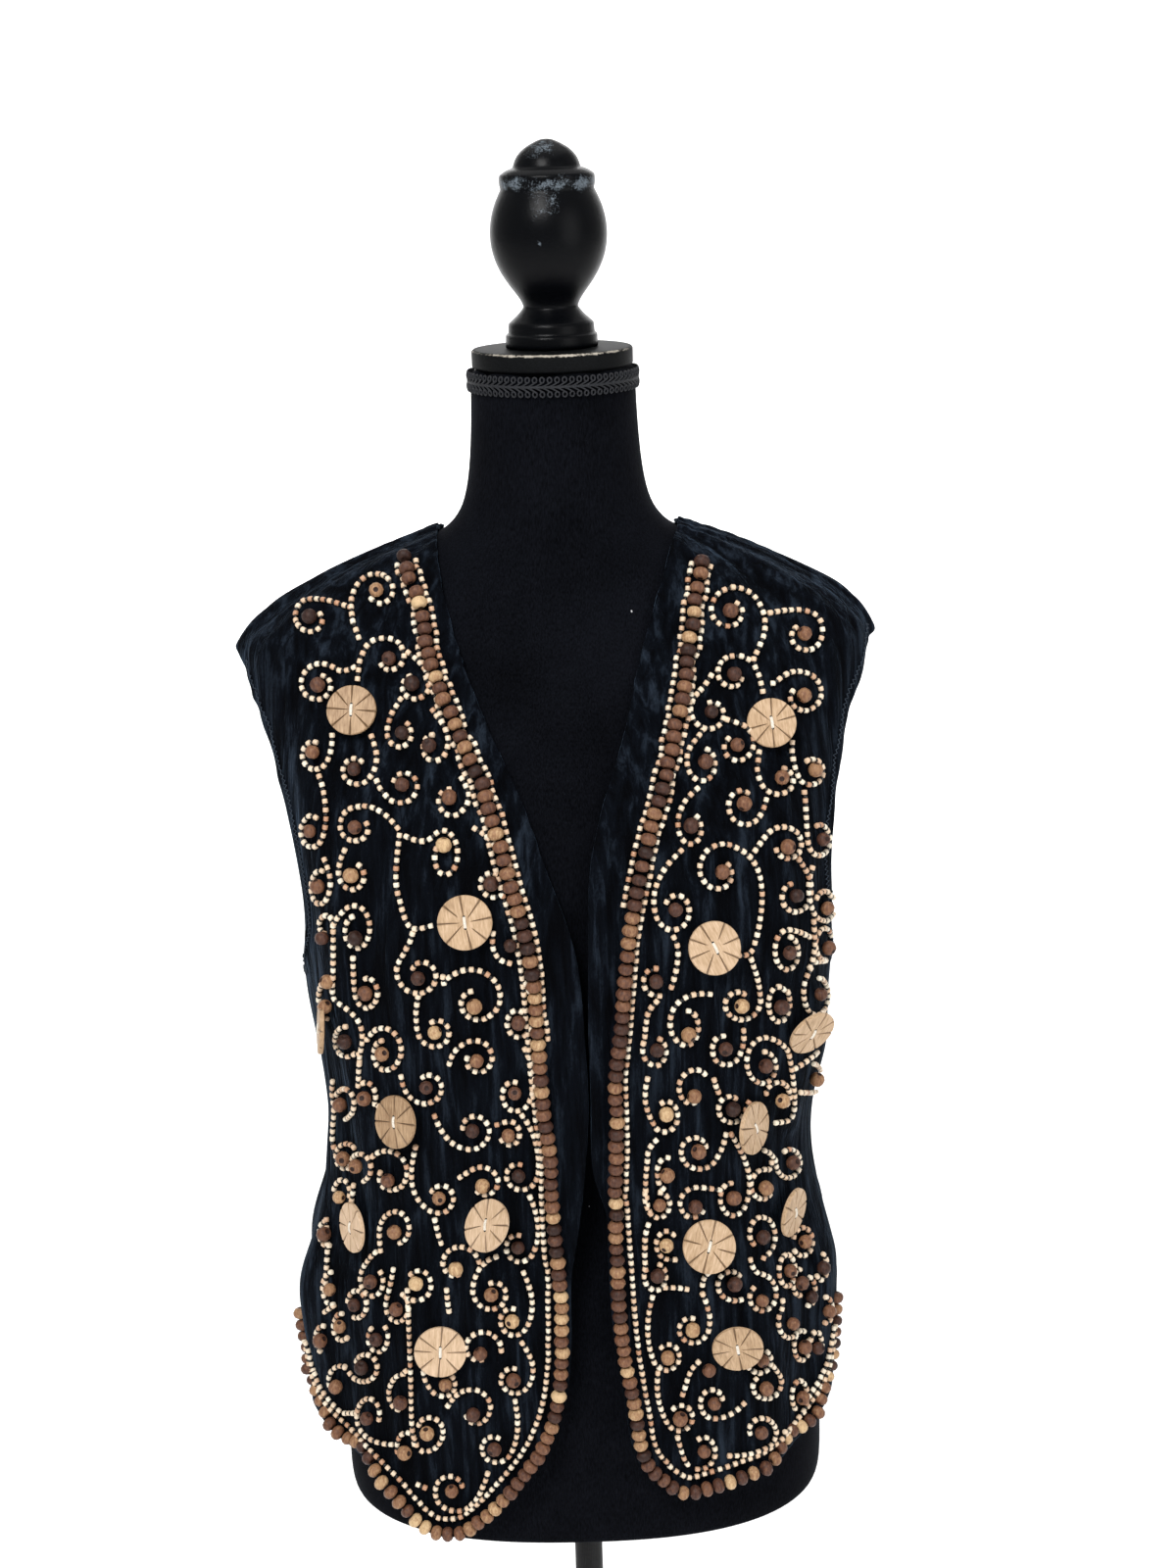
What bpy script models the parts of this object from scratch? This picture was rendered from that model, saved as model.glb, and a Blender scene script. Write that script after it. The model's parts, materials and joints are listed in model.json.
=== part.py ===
"""A sleeveless velvet vest with wooden beadwork, worn by a dress form on a pole stand.

Metres, +Z up. The origin is the middle of the base's underside, on the floor.
The front faces -Y, so the wearer's left side is at +X and the right side at -X.
The form and the vest are both stacks of horizontal sections, and the vest's
sections are the form's own, let out by an ease that depends on the height.
A point of either surface is named by its height and by its turn, the angle
round the section: 0 at the front, 90 degrees at the left side, 180 at the back.
"""

import math
from collections import namedtuple

import bmesh
import bpy
import numpy as np
from mathutils import Vector
from mathutils.bvhtree import BVHTree

# Driving dimensions of the stand
BASE_RADIUS = 0.170
BASE_THICK = 0.015
BASE_ROUND = 0.004
FOOT_EDGE = 0.0015
HUB_RADIUS = 0.024
HUB_HEIGHT = 0.045
POLE_RADIUS = 0.010
POLE_SIDES = 16
PIECE_GAP = 0.0003

# Driving dimensions of the form
FORM_BOTTOM = 0.610
BOTTOM_ROUND = 0.006
NECK_TOP = 1.390
NECK_RADIUS = 0.0525
CAP_RADIUS = 0.0510
CAP_THICK = 0.0115
CAP_EDGE = 0.0012
BRAID_HEIGHT = 0.0135
BRAID_THICK = 0.0024
BRAID_ROUND = 0.0006
BRAID_DROP = 0.0006

# Driving dimensions of the vest
WALL = 0.0020
REST_ON_FORM = 0.0014
SEAM_GAP = 0.0003
UNDERARM = 0.995
SHOULDER_TIP_HEIGHT = 1.217
NECK_POINT_HEIGHT = 1.2858
BACK_NECK_DROP = 0.020
BACK_HEM_MIDDLE = 0.690
BACK_HEM_SIDE = 0.700
SEAM_SETBACK = 0.6 * SEAM_GAP

# Driving dimensions of the wooden trimmings
BEAD_RADIUS = 0.0038
BEAD_PITCH = 0.0080
BEAD_NECK = 0.55
BEAD_SIDES = 5
TRIM_CLEARANCE = 0.0004
DISC_THICK = 0.0030
DISC_SIDES = 12

# Mesh fineness
FORM_SIDES = 32
TURNED_SIDES = 24
FRONT_COLUMNS = 18
FRONT_UPPER_ROWS = 11
FRONT_LOWER_ROWS = 12
BACK_HALF_COLUMNS = 13
BACK_NECK_COLUMNS = 5
BACK_UPPER_ROWS = 11
BACK_LOWER_ROWS = 9
ROW_CROWDING = 1.6
ARC_STEPS = 120
PATH_STEPS = 80
BEAD_ROW_STEPS = 160
SEARCH_STEPS = 40
TURN_STEP = 0.001
HEIGHT_STEP = 0.0002
SHARP_EDGE = math.radians(40)
PROBE = 0.030

Level = namedtuple("Level", "height half_width front back power")
FORM_LEVELS = [
    Level(0.610, 0.1690, 0.1120, 0.1120, 2.50),
    Level(0.650, 0.1690, 0.1130, 0.1165, 2.45),
    Level(0.705, 0.1665, 0.1125, 0.1195, 2.40),
    Level(0.760, 0.1590, 0.1095, 0.1140, 2.35),
    Level(0.820, 0.1460, 0.1025, 0.0990, 2.30),
    Level(0.880, 0.1280, 0.0950, 0.0865, 2.25),
    Level(0.940, 0.1330, 0.0970, 0.0875, 2.25),
    Level(1.000, 0.1450, 0.1090, 0.0930, 2.25),
    Level(1.050, 0.1545, 0.1220, 0.0970, 2.25),
    Level(1.090, 0.1610, 0.1215, 0.1000, 2.20),
    Level(1.140, 0.1700, 0.1080, 0.1010, 2.15),
    Level(1.180, 0.1790, 0.0920, 0.0975, 2.10),
    Level(1.205, 0.1850, 0.0810, 0.0900, 2.05),
    Level(1.217, 0.1860, 0.0755, 0.0840, 2.00),
    Level(1.230, 0.1820, 0.0700, 0.0775, 2.00),
    Level(1.243, 0.1720, 0.0650, 0.0710, 2.00),
    Level(1.2555, 0.1530, 0.0610, 0.0660, 2.00),
    Level(1.268, 0.1260, 0.0580, 0.0620, 2.00),
    Level(1.279, 0.0970, 0.0560, 0.0590, 2.00),
    Level(1.2858, 0.0760, 0.0545, 0.0570, 2.00),
    Level(1.294, 0.0665, 0.0535, 0.0555, 2.00),
    Level(1.306, 0.0590, 0.0530, 0.0545, 2.00),
    Level(1.332, 0.0545, 0.0525, 0.0535, 2.00),
    Level(1.370, NECK_RADIUS, NECK_RADIUS, NECK_RADIUS, 2.00),
    Level(1.390, NECK_RADIUS, NECK_RADIUS, NECK_RADIUS, 2.00),
]

# How far the vest stands off the form. squarer is added to the section's power
Ease = namedtuple("Ease", "height side front back squarer shift")
VEST_EASE = [
    Ease(0.600, 0.0100, 0.0115, 0.0150, 0.15, -0.0073),
    Ease(0.650, 0.0100, 0.0110, 0.0130, 0.20, -0.0073),
    Ease(0.705, 0.0122, 0.0115, 0.0100, 0.25, -0.0073),
    Ease(0.760, 0.0210, 0.0145, 0.0085, 0.30, -0.0073),
    Ease(0.790, 0.0250, 0.0180, 0.0110, 0.35, -0.0068),
    Ease(0.820, 0.0225, 0.0215, 0.0140, 0.35, -0.0060),
    Ease(0.880, 0.0310, 0.0295, 0.0200, 0.40, -0.0055),
    Ease(0.912, 0.0300, 0.0300, 0.0195, 0.40, -0.0030),
    Ease(0.945, 0.0325, 0.0285, 0.0180, 0.40, -0.0010),
    Ease(1.000, 0.0280, 0.0180, 0.0120, 0.35, -0.0015),
    Ease(1.050, 0.0225, 0.0065, 0.0080, 0.30, 0.0000),
    Ease(1.090, 0.0195, 0.0030, 0.0045, 0.25, -0.0015),
    Ease(1.140, 0.0180, 0.0020, 0.0025, 0.15, -0.0030),
    Ease(1.180, 0.0165, 0.0012, 0.0015, 0.05, -0.0040),
    Ease(1.205, 0.0165, 0.0006, 0.0006, 0.00, -0.0040),
    Ease(1.217, 0.0170, 0.0004, 0.0004, 0.00, -0.0040),
    Ease(1.230, 0.0105, 0.0002, 0.0002, 0.00, -0.0020),
    Ease(1.243, 0.0045, 0.0002, 0.0002, 0.00, -0.0005),
    Ease(1.2555, 0.0008, 0.0003, 0.0012, 0.00, 0.0000),
    Ease(1.268, 0.0005, 0.0002, 0.0012, 0.00, 0.0000),
    Ease(1.279, 0.0003, 0.0002, 0.0006, 0.00, 0.0000),
    Ease(1.390, 0.0000, 0.0000, 0.0000, 0.00, 0.0000),
]

# The largest folds. turn and width are in degrees, lift is at the hem, and each fades out upwards
Fold = namedtuple("Fold", "turn top fade lift width")
VEST_FOLDS = [
    Fold(-34, 0.86, 0.16, 0.0030, 8),
    Fold(-52, 0.98, 0.25, -0.0040, 7),
    Fold(-70, 1.00, 0.22, 0.0050, 8),
    Fold(-88, 0.97, 0.20, -0.0040, 7),
    Fold(-108, 1.00, 0.24, 0.0050, 9),
    Fold(-130, 0.96, 0.22, -0.0045, 8),
    Fold(-152, 1.00, 0.26, 0.0050, 9),
    Fold(-172, 0.93, 0.20, -0.0040, 8),
    Fold(36, 0.88, 0.18, 0.0030, 8),
    Fold(54, 0.96, 0.22, -0.0035, 7),
    Fold(72, 1.00, 0.20, 0.0045, 8),
    Fold(92, 0.96, 0.22, -0.0020, 8),
    Fold(112, 1.00, 0.24, 0.0050, 9),
    Fold(134, 0.95, 0.20, -0.0040, 8),
    Fold(156, 0.98, 0.24, 0.0045, 9),
]

# Front edges, measured sideways from the vest's own middle line
EdgePoint = namedtuple("EdgePoint", "height reach")
EDGE_RIGHT = [
    EdgePoint(1.2858, 0.0760),
    EdgePoint(1.2656, 0.0730),
    EdgePoint(1.2489, 0.0696),
    EdgePoint(1.2261, 0.0611),
    EdgePoint(1.2020, 0.0512),
    EdgePoint(1.1796, 0.0420),
    EdgePoint(1.1295, 0.0206),
    EdgePoint(1.0794, 0.0058),
    EdgePoint(1.0525, -0.0027),
    EdgePoint(1.0202, -0.0075),
    EdgePoint(0.9893, -0.0098),
    EdgePoint(0.9330, -0.0106),
    EdgePoint(0.8921, -0.0108),
    EdgePoint(0.8664, -0.0084),
    EdgePoint(0.8415, -0.0050),
    EdgePoint(0.8200, -0.0015),
    EdgePoint(0.7732, -0.0012),
    EdgePoint(0.7441, 0.0012),
    EdgePoint(0.7218, 0.0054),
    EdgePoint(0.6957, 0.0152),
]
EDGE_LEFT = [
    EdgePoint(1.2858, 0.0760),
    EdgePoint(1.2766, 0.0690),
    EdgePoint(1.2556, 0.0625),
    EdgePoint(1.2364, 0.0569),
    EdgePoint(1.1950, 0.0481),
    EdgePoint(1.1680, 0.0404),
    EdgePoint(1.1445, 0.0306),
    EdgePoint(1.0981, 0.0171),
    EdgePoint(1.0701, 0.0127),
    EdgePoint(1.0200, 0.0122),
    EdgePoint(0.9500, 0.0124),
    EdgePoint(0.9100, 0.0138),
    EdgePoint(0.8850, 0.0180),
    EdgePoint(0.8634, 0.0248),
    EdgePoint(0.8213, 0.0255),
    EdgePoint(0.7929, 0.0274),
    EdgePoint(0.7642, 0.0299),
    EdgePoint(0.7203, 0.0361),
    EdgePoint(0.6980, 0.0388),
    EdgePoint(0.6817, 0.0435),
]

# Points named by the distance round from the vest's middle line, and by their height
RoundPoint = namedtuple("RoundPoint", "along height")

# Front hems, from the front corner to the foot of the side slit
HEM_RIGHT = [
    RoundPoint(0.0152, 0.6957),
    RoundPoint(0.0246, 0.6803),
    RoundPoint(0.0417, 0.6577),
    RoundPoint(0.0559, 0.6418),
    RoundPoint(0.0743, 0.6285),
    RoundPoint(0.0910, 0.6269),
    RoundPoint(0.1057, 0.6342),
    RoundPoint(0.1156, 0.6451),
    RoundPoint(0.1247, 0.6572),
    RoundPoint(0.1402, 0.6680),
    RoundPoint(0.1600, 0.6739),
    RoundPoint(0.1812, 0.6846),
    RoundPoint(0.1996, 0.7030),
]
HEM_LEFT = [
    RoundPoint(0.0435, 0.6817),
    RoundPoint(0.0518, 0.6705),
    RoundPoint(0.0595, 0.6622),
    RoundPoint(0.0700, 0.6549),
    RoundPoint(0.0812, 0.6539),
    RoundPoint(0.0919, 0.6561),
    RoundPoint(0.1111, 0.6601),
    RoundPoint(0.1325, 0.6636),
    RoundPoint(0.1548, 0.6687),
    RoundPoint(0.1715, 0.6751),
    RoundPoint(0.1858, 0.6850),
    RoundPoint(0.2008, 0.7030),
]

# The rows of large beads, from the shoulder down the front edge, round the hem and up the slit
BEADS_RIGHT = [
    RoundPoint(0.0985, 1.2740),
    RoundPoint(0.0870, 1.2531),
    RoundPoint(0.0788, 1.2249),
    RoundPoint(0.0615, 1.1802),
    RoundPoint(0.0452, 1.1400),
    RoundPoint(0.0354, 1.1015),
    RoundPoint(0.0265, 1.0587),
    RoundPoint(0.0203, 1.0143),
    RoundPoint(0.0190, 0.9800),
    RoundPoint(0.0178, 0.9430),
    RoundPoint(0.0118, 0.9067),
    RoundPoint(0.0085, 0.8510),
    RoundPoint(0.0045, 0.7948),
    RoundPoint(0.0044, 0.7735),
    RoundPoint(0.0067, 0.7449),
    RoundPoint(0.0107, 0.7233),
    RoundPoint(0.0202, 0.6980),
    RoundPoint(0.0291, 0.6835),
    RoundPoint(0.0460, 0.6612),
    RoundPoint(0.0596, 0.6459),
    RoundPoint(0.0766, 0.6335),
    RoundPoint(0.0899, 0.6323),
    RoundPoint(0.1024, 0.6386),
    RoundPoint(0.1114, 0.6486),
    RoundPoint(0.1210, 0.6612),
    RoundPoint(0.1378, 0.6730),
    RoundPoint(0.1580, 0.6790),
    RoundPoint(0.1780, 0.6890),
    RoundPoint(0.1950, 0.7060),
    RoundPoint(0.2050, 0.7310),
    RoundPoint(0.2110, 0.7600),
]
BEADS_LEFT = [
    RoundPoint(0.0900, 1.2700),
    RoundPoint(0.0838, 1.2433),
    RoundPoint(0.0828, 1.2208),
    RoundPoint(0.0744, 1.1791),
    RoundPoint(0.0637, 1.1433),
    RoundPoint(0.0520, 1.1101),
    RoundPoint(0.0419, 1.0750),
    RoundPoint(0.0362, 1.0476),
    RoundPoint(0.0330, 0.9989),
    RoundPoint(0.0275, 0.9500),
    RoundPoint(0.0298, 0.9051),
    RoundPoint(0.0303, 0.8634),
    RoundPoint(0.0310, 0.8215),
    RoundPoint(0.0354, 0.7647),
    RoundPoint(0.0415, 0.7211),
    RoundPoint(0.0442, 0.6990),
    RoundPoint(0.0484, 0.6840),
    RoundPoint(0.0560, 0.6740),
    RoundPoint(0.0631, 0.6663),
    RoundPoint(0.0720, 0.6602),
    RoundPoint(0.0808, 0.6594),
    RoundPoint(0.0908, 0.6615),
    RoundPoint(0.1102, 0.6655),
    RoundPoint(0.1313, 0.6690),
    RoundPoint(0.1533, 0.6740),
    RoundPoint(0.1690, 0.6800),
    RoundPoint(0.1820, 0.6890),
    RoundPoint(0.1960, 0.7060),
    RoundPoint(0.2060, 0.7310),
    RoundPoint(0.2120, 0.7600),
]

# Side slits: how far each panel's edge lies from the side line
Slit = namedtuple("Slit", "height front back")
SLITS = [
    Slit(0.690, 0.0520, 0.0040),
    Slit(0.703, 0.0494, 0.0038),
    Slit(0.730, 0.0405, 0.0032),
    Slit(0.759, 0.0364, 0.0020),
    Slit(0.785, 0.0220, 0.0010),
    Slit(0.815, 0.0000, 0.0000),
]

# Armholes: how many degrees each edge lies from the side line
Armhole = namedtuple("Armhole", "height front back")
ARMHOLES = [
    Armhole(1.217, 0, 0),
    Armhole(1.205, 9, 9),
    Armhole(1.190, 14, 13),
    Armhole(1.170, 18, 17),
    Armhole(1.140, 21, 20),
    Armhole(1.100, 23, 23),
    Armhole(1.060, 23, 24),
    Armhole(1.030, 19, 22),
    Armhole(1.010, 12, 15),
    Armhole(0.995, 0, 0),
]

# Wooden discs: where each hangs, and where it faces. turn and rise are in degrees
Disc = namedtuple("Disc", "side reach height radius turn rise")
DISCS = [
    Disc(-1, 0.1248, 1.1870, 0.0157, -8, 27),
    Disc(-1, 0.0615, 1.0650, 0.0170, -2, 19),
    Disc(-1, 0.1075, 0.9280, 0.0170, -40, 13),
    Disc(-1, 0.1494, 0.9820, 0.0165, -81, 5),
    Disc(-1, 0.1370, 0.8410, 0.0165, -59, 6),
    Disc(-1, 0.0490, 0.8640, 0.0170, -42, 34),
    Disc(-1, 0.0828, 0.7700, 0.0170, 3, 7),
    Disc(1, 0.1314, 1.1720, 0.0155, 6, 24),
    Disc(1, 0.0881, 1.0430, 0.0168, 16, 19),
    Disc(1, 0.1465, 0.9720, 0.0165, 31, -24),
    Disc(1, 0.1130, 0.9160, 0.0170, 56, 3),
    Disc(1, 0.1430, 0.8400, 0.0165, 59, -5),
    Disc(1, 0.0870, 0.8380, 0.0172, 8, 27),
    Disc(1, 0.1069, 0.7640, 0.0168, -1, -8),
]

# The finial's outline, from its foot up
Turning = namedtuple("Turning", "height radius")
FINIAL_PROFILE = [
    Turning(0.0000, 0.0292),
    Turning(0.0078, 0.0290),
    Turning(0.0090, 0.0274),
    Turning(0.0150, 0.0270),
    Turning(0.0205, 0.0205),
    Turning(0.0250, 0.0172),
    Turning(0.0300, 0.0190),
    Turning(0.0390, 0.0265),
    Turning(0.0510, 0.0338),
    Turning(0.0650, 0.0372),
    Turning(0.0780, 0.0365),
    Turning(0.0890, 0.0332),
    Turning(0.0965, 0.0292),
    Turning(0.1005, 0.0302),
    Turning(0.1050, 0.0297),
    Turning(0.1080, 0.0262),
    Turning(0.1095, 0.0212),
    Turning(0.1155, 0.0196),
    Turning(0.1210, 0.0145),
    Turning(0.1250, 0.0070),
]
FINIAL_TOP = 0.1265
FINIAL_TIP_RADIUS = 0.0025


# Curves through short tables
def through(places, values):
    """A smooth curve through the points that never swings past them."""
    order = np.argsort(places)
    x = np.asarray(places, float)[order]
    y = np.asarray(values, float)[order]
    step = np.diff(x)
    slope = np.diff(y) / step
    tangent = np.zeros_like(y)
    tangent[0] = slope[0]
    tangent[-1] = slope[-1]
    for i in range(1, len(x) - 1):
        if slope[i - 1] * slope[i] > 0:
            before = 2 * step[i] + step[i - 1]
            after = step[i] + 2 * step[i - 1]
            tangent[i] = (before + after) / (before / slope[i - 1] + after / slope[i])

    def at(place):
        p = np.clip(place, x[0], x[-1])
        i = np.clip(np.searchsorted(x, p) - 1, 0, len(x) - 2)
        t = (p - x[i]) / step[i]
        rise = 3 * t**2 - 2 * t**3
        leave = t**3 - 2 * t**2 + t
        arrive = t**3 - t**2
        return y[i] + (y[i + 1] - y[i]) * rise + step[i] * (leave * tangent[i] + arrive * tangent[i + 1])

    return at


def column(rows, name):
    return through([row.height for row in rows], [getattr(row, name) for row in rows])


def smoothstep(value):
    t = min(max(value, 0.0), 1.0)
    return t * t * (3 - 2 * t)


FORM = {name: column(FORM_LEVELS, name) for name in ("half_width", "front", "back", "power")}
EASE = {name: column(VEST_EASE, name) for name in ("side", "front", "back", "squarer", "shift")}
OPENING = {name: column(ARMHOLES, name) for name in ("front", "back")}
SLIT = {name: column(SLITS, name) for name in ("front", "back")}


# Sections of the form and of the vest
def section(turn, half_width, front, back, power):
    """The point of a rounded section at an angle, or the points at an array of angles."""
    sine = np.sin(turn)
    cosine = np.cos(turn)
    depth = np.where(cosine > 0, front, back)
    x = half_width * np.sign(sine) * np.abs(sine) ** (2 / power)
    y = -depth * np.sign(cosine) * np.abs(cosine) ** (2 / power)
    return x, y


def form_section(height):
    return tuple(float(FORM[name](height)) for name in ("half_width", "front", "back", "power"))


def vest_section(height):
    half_width, front, back, power = form_section(height)
    return (
        half_width + float(EASE["side"](height)),
        front + float(EASE["front"](height)),
        back + float(EASE["back"](height)),
        power + float(EASE["squarer"](height)),
    )


def quarter(sizes, start, end):
    """Angles of a quarter of a section, and the distances round it."""
    turns = np.linspace(start, end, ARC_STEPS)
    x, y = section(turns, *sizes)
    steps = np.hypot(np.diff(x), np.diff(y))
    return turns, np.concatenate([[0.0], np.cumsum(steps)])


def vest_quarter(height, behind=False):
    return quarter(vest_section(height), math.pi if behind else 0.0, math.pi / 2)


def quarter_length(height, behind=False):
    return float(vest_quarter(height, behind)[1][-1])


def fold_lift(turn, height):
    """How far the large folds stand out from the plain section."""
    lift = 0.0
    for fold in VEST_FOLDS:
        away = (math.degrees(turn) - fold.turn + 180) % 360 - 180
        near = math.exp(-((away / fold.width) ** 2))
        lift += fold.lift * near * smoothstep((fold.top - height) / fold.fade)
    return lift


def vest_base(turn, height):
    """The surface that the inside of the vest follows, folds and all."""
    x, y = section(turn, *vest_section(height))
    flat = Vector((float(x), float(y)))
    flat += flat.normalized() * fold_lift(turn, height)
    return np.array([flat.x + float(EASE["shift"](height)), flat.y, height])


def vest_normal(turn, height):
    round_section = vest_base(turn + TURN_STEP, height) - vest_base(turn - TURN_STEP, height)
    upwards = vest_base(turn, height + HEIGHT_STEP) - vest_base(turn, height - HEIGHT_STEP)
    normal = np.cross(round_section, upwards)
    return normal / np.linalg.norm(normal)


# Ways to name a place on the vest
def turn_of_reach(reach, height, behind=False):
    """The angle of the point that lies this far out sideways."""
    half_width, _, _, power = vest_section(height)
    turn = math.asin(min(abs(reach) / half_width, 1.0) ** (power / 2))
    if behind:
        turn = math.pi - turn
    return math.copysign(turn, reach)


def reach_of_turn(turn, height):
    half_width, _, _, power = vest_section(height)
    return half_width * abs(math.sin(turn)) ** (2 / power)


def turn_of_share(share, height, behind=False):
    """The angle at this share of the way round from the middle line to the side line."""
    turns, lengths = vest_quarter(height, behind)
    turn = float(np.interp(abs(share) * lengths[-1], lengths, turns))
    return math.copysign(turn, share)


def share_of_turn(turn, height, behind=False):
    turns, lengths = vest_quarter(height, behind)
    if behind:
        length = np.interp(abs(turn), turns[::-1], lengths[::-1])
    else:
        length = np.interp(abs(turn), turns, lengths)
    return math.copysign(float(length / lengths[-1]), turn)


def share_of_along(along, height):
    return along / quarter_length(height)


def side_share(height, behind=False):
    """The share at which a panel stops at its side seam, or at the slit below it."""
    slit = float(SLIT["back" if behind else "front"](height))
    return 1 - (SEAM_GAP / 2 + slit) / quarter_length(height, behind)


def seam_height(reach):
    """The height of the shoulder ridge this far out."""
    low = SHOULDER_TIP_HEIGHT
    high = NECK_TOP
    for _ in range(SEARCH_STEPS):
        middle = (low + high) / 2
        if vest_section(middle)[0] > reach:
            low = middle
        else:
            high = middle
    return (low + high) / 2


def armhole_reach(height, behind):
    """How far out the armhole's edge is. Above the shoulder tip it is the tip's own reach."""
    level = min(height, SHOULDER_TIP_HEIGHT)
    opening = math.radians(float(OPENING["back" if behind else "front"](level)))
    return reach_of_turn(math.pi / 2 - opening, level)


def seam_turn(height, behind):
    """The angle at which a panel stops at the shoulder seam."""
    _, front, back, power = vest_section(height)
    depth = back if behind else front
    short = math.asin((SEAM_SETBACK / depth) ** (power / 2))
    return math.pi / 2 + short if behind else math.pi / 2 - short


# Panels of cloth
def upper_column(top, inner, low_share, rows, behind):
    """Angles and heights down one column, from the shoulder or the neckline to the underarm."""
    top_reach, top_height = top
    outer = armhole_reach(top_height, behind)
    first_share = (top_reach - inner(top_height)) / (outer - inner(top_height))
    path = []
    for t in np.linspace(0.0, 1.0, PATH_STEPS) ** 2:
        height = top_height + (UNDERARM - top_height) * t
        share = first_share + (low_share - first_share) * smoothstep(t)
        reach = inner(height) + (armhole_reach(height, behind) - inner(height)) * share
        turn = turn_of_reach(reach, height, behind)
        path.append((*vest_base(turn, height), turn, height))
    path = np.array(path)
    lengths = np.concatenate([[0.0], np.cumsum(np.linalg.norm(np.diff(path[:, :3], axis=0), axis=1))])
    places = lengths[-1] * np.linspace(0.0, 1.0, rows + 1) ** ROW_CROWDING
    turns = np.interp(places, lengths, path[:, 3])
    heights = np.interp(places, lengths, path[:, 4])
    return list(zip(turns.tolist(), heights.tolist()))


def blended_patch(top, bottom, left, right, columns, rows):
    """Points between four curves, each read by a share from 0 to 1 (a Coons patch)."""
    grid = []
    for j in range(rows + 1):
        v = j / rows
        row = []
        for i in range(columns + 1):
            u = i / columns
            down = (1 - v) * top(u) + v * bottom(u)
            across = (1 - u) * left(v) + u * right(v)
            upper_ends = (1 - u) * top(0) + u * top(1)
            lower_ends = (1 - u) * bottom(0) + u * bottom(1)
            row.append(down + across - (1 - v) * upper_ends - v * lower_ends)
        grid.append(row)
    return grid


def curve_by_length(points):
    """A smooth curve through flat points, read by its share of length."""
    points = np.array(points, float)
    lengths = np.concatenate([[0.0], np.cumsum(np.linalg.norm(np.diff(points, axis=0), axis=1))])
    tracks = [through(lengths / lengths[-1], points[:, i]) for i in range(points.shape[1])]
    return lambda share: np.array([track(share) for track in tracks])


def front_edge_share(edge, height):
    """The front edge's share of the section, below zero where it crosses the middle line."""
    reach = float(edge(height))
    return share_of_turn(turn_of_reach(reach, height), height)


def hem_curve(hem):
    """The hem as shares of the section and heights, ending at the slit."""
    points = [(share_of_along(point.along, point.height), point.height) for point in hem[:-1]]
    points.append((side_share(hem[-1].height), hem[-1].height))
    return points


def front_panel(side, edge_rows, hem_rows):
    """The grid of angles and heights of one front, a list of rows from the shoulder to the hem."""
    edge = column(edge_rows, "reach")
    inner = lambda height: float(edge(height))
    corner_height = hem_rows[0].height
    low_inner = inner(UNDERARM)
    low_outer = armhole_reach(UNDERARM, False)
    first_share = front_edge_share(edge, UNDERARM)
    tip_reach = vest_section(SHOULDER_TIP_HEIGHT)[0]
    neck_reach = inner(NECK_POINT_HEIGHT)

    columns = []
    for i in range(FRONT_COLUMNS + 1):
        u = i / FRONT_COLUMNS
        top_reach = neck_reach + (tip_reach - neck_reach) * u
        top_height = seam_height(top_reach)
        low_turn = turn_of_share(first_share + (side_share(UNDERARM) - first_share) * u, UNDERARM)
        low_reach = math.copysign(reach_of_turn(low_turn, UNDERARM), low_turn)
        low_share = (low_reach - low_inner) / (low_outer - low_inner)
        line = upper_column((top_reach, top_height), inner, low_share, FRONT_UPPER_ROWS, False)
        line[0] = (seam_turn(top_height, False), top_height)
        line[-1] = (low_turn, UNDERARM)
        columns.append(line)
    upper = [[line[j] for line in columns] for j in range(FRONT_UPPER_ROWS)]

    hem = curve_by_length(hem_curve(hem_rows))
    side_end = hem_rows[-1].height

    def top(u):
        return np.array([first_share + (side_share(UNDERARM) - first_share) * u, UNDERARM])

    def left(v):
        height = UNDERARM + (corner_height - UNDERARM) * v
        return np.array([front_edge_share(edge, height), height])

    def right(v):
        height = UNDERARM + (side_end - UNDERARM) * v
        return np.array([side_share(height), height])

    patch = blended_patch(top, hem, left, right, FRONT_COLUMNS, FRONT_LOWER_ROWS)
    lower = [[(turn_of_share(share, height), height) for share, height in row] for row in patch]
    return [[(side * turn, height) for turn, height in row] for row in upper + lower]


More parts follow.
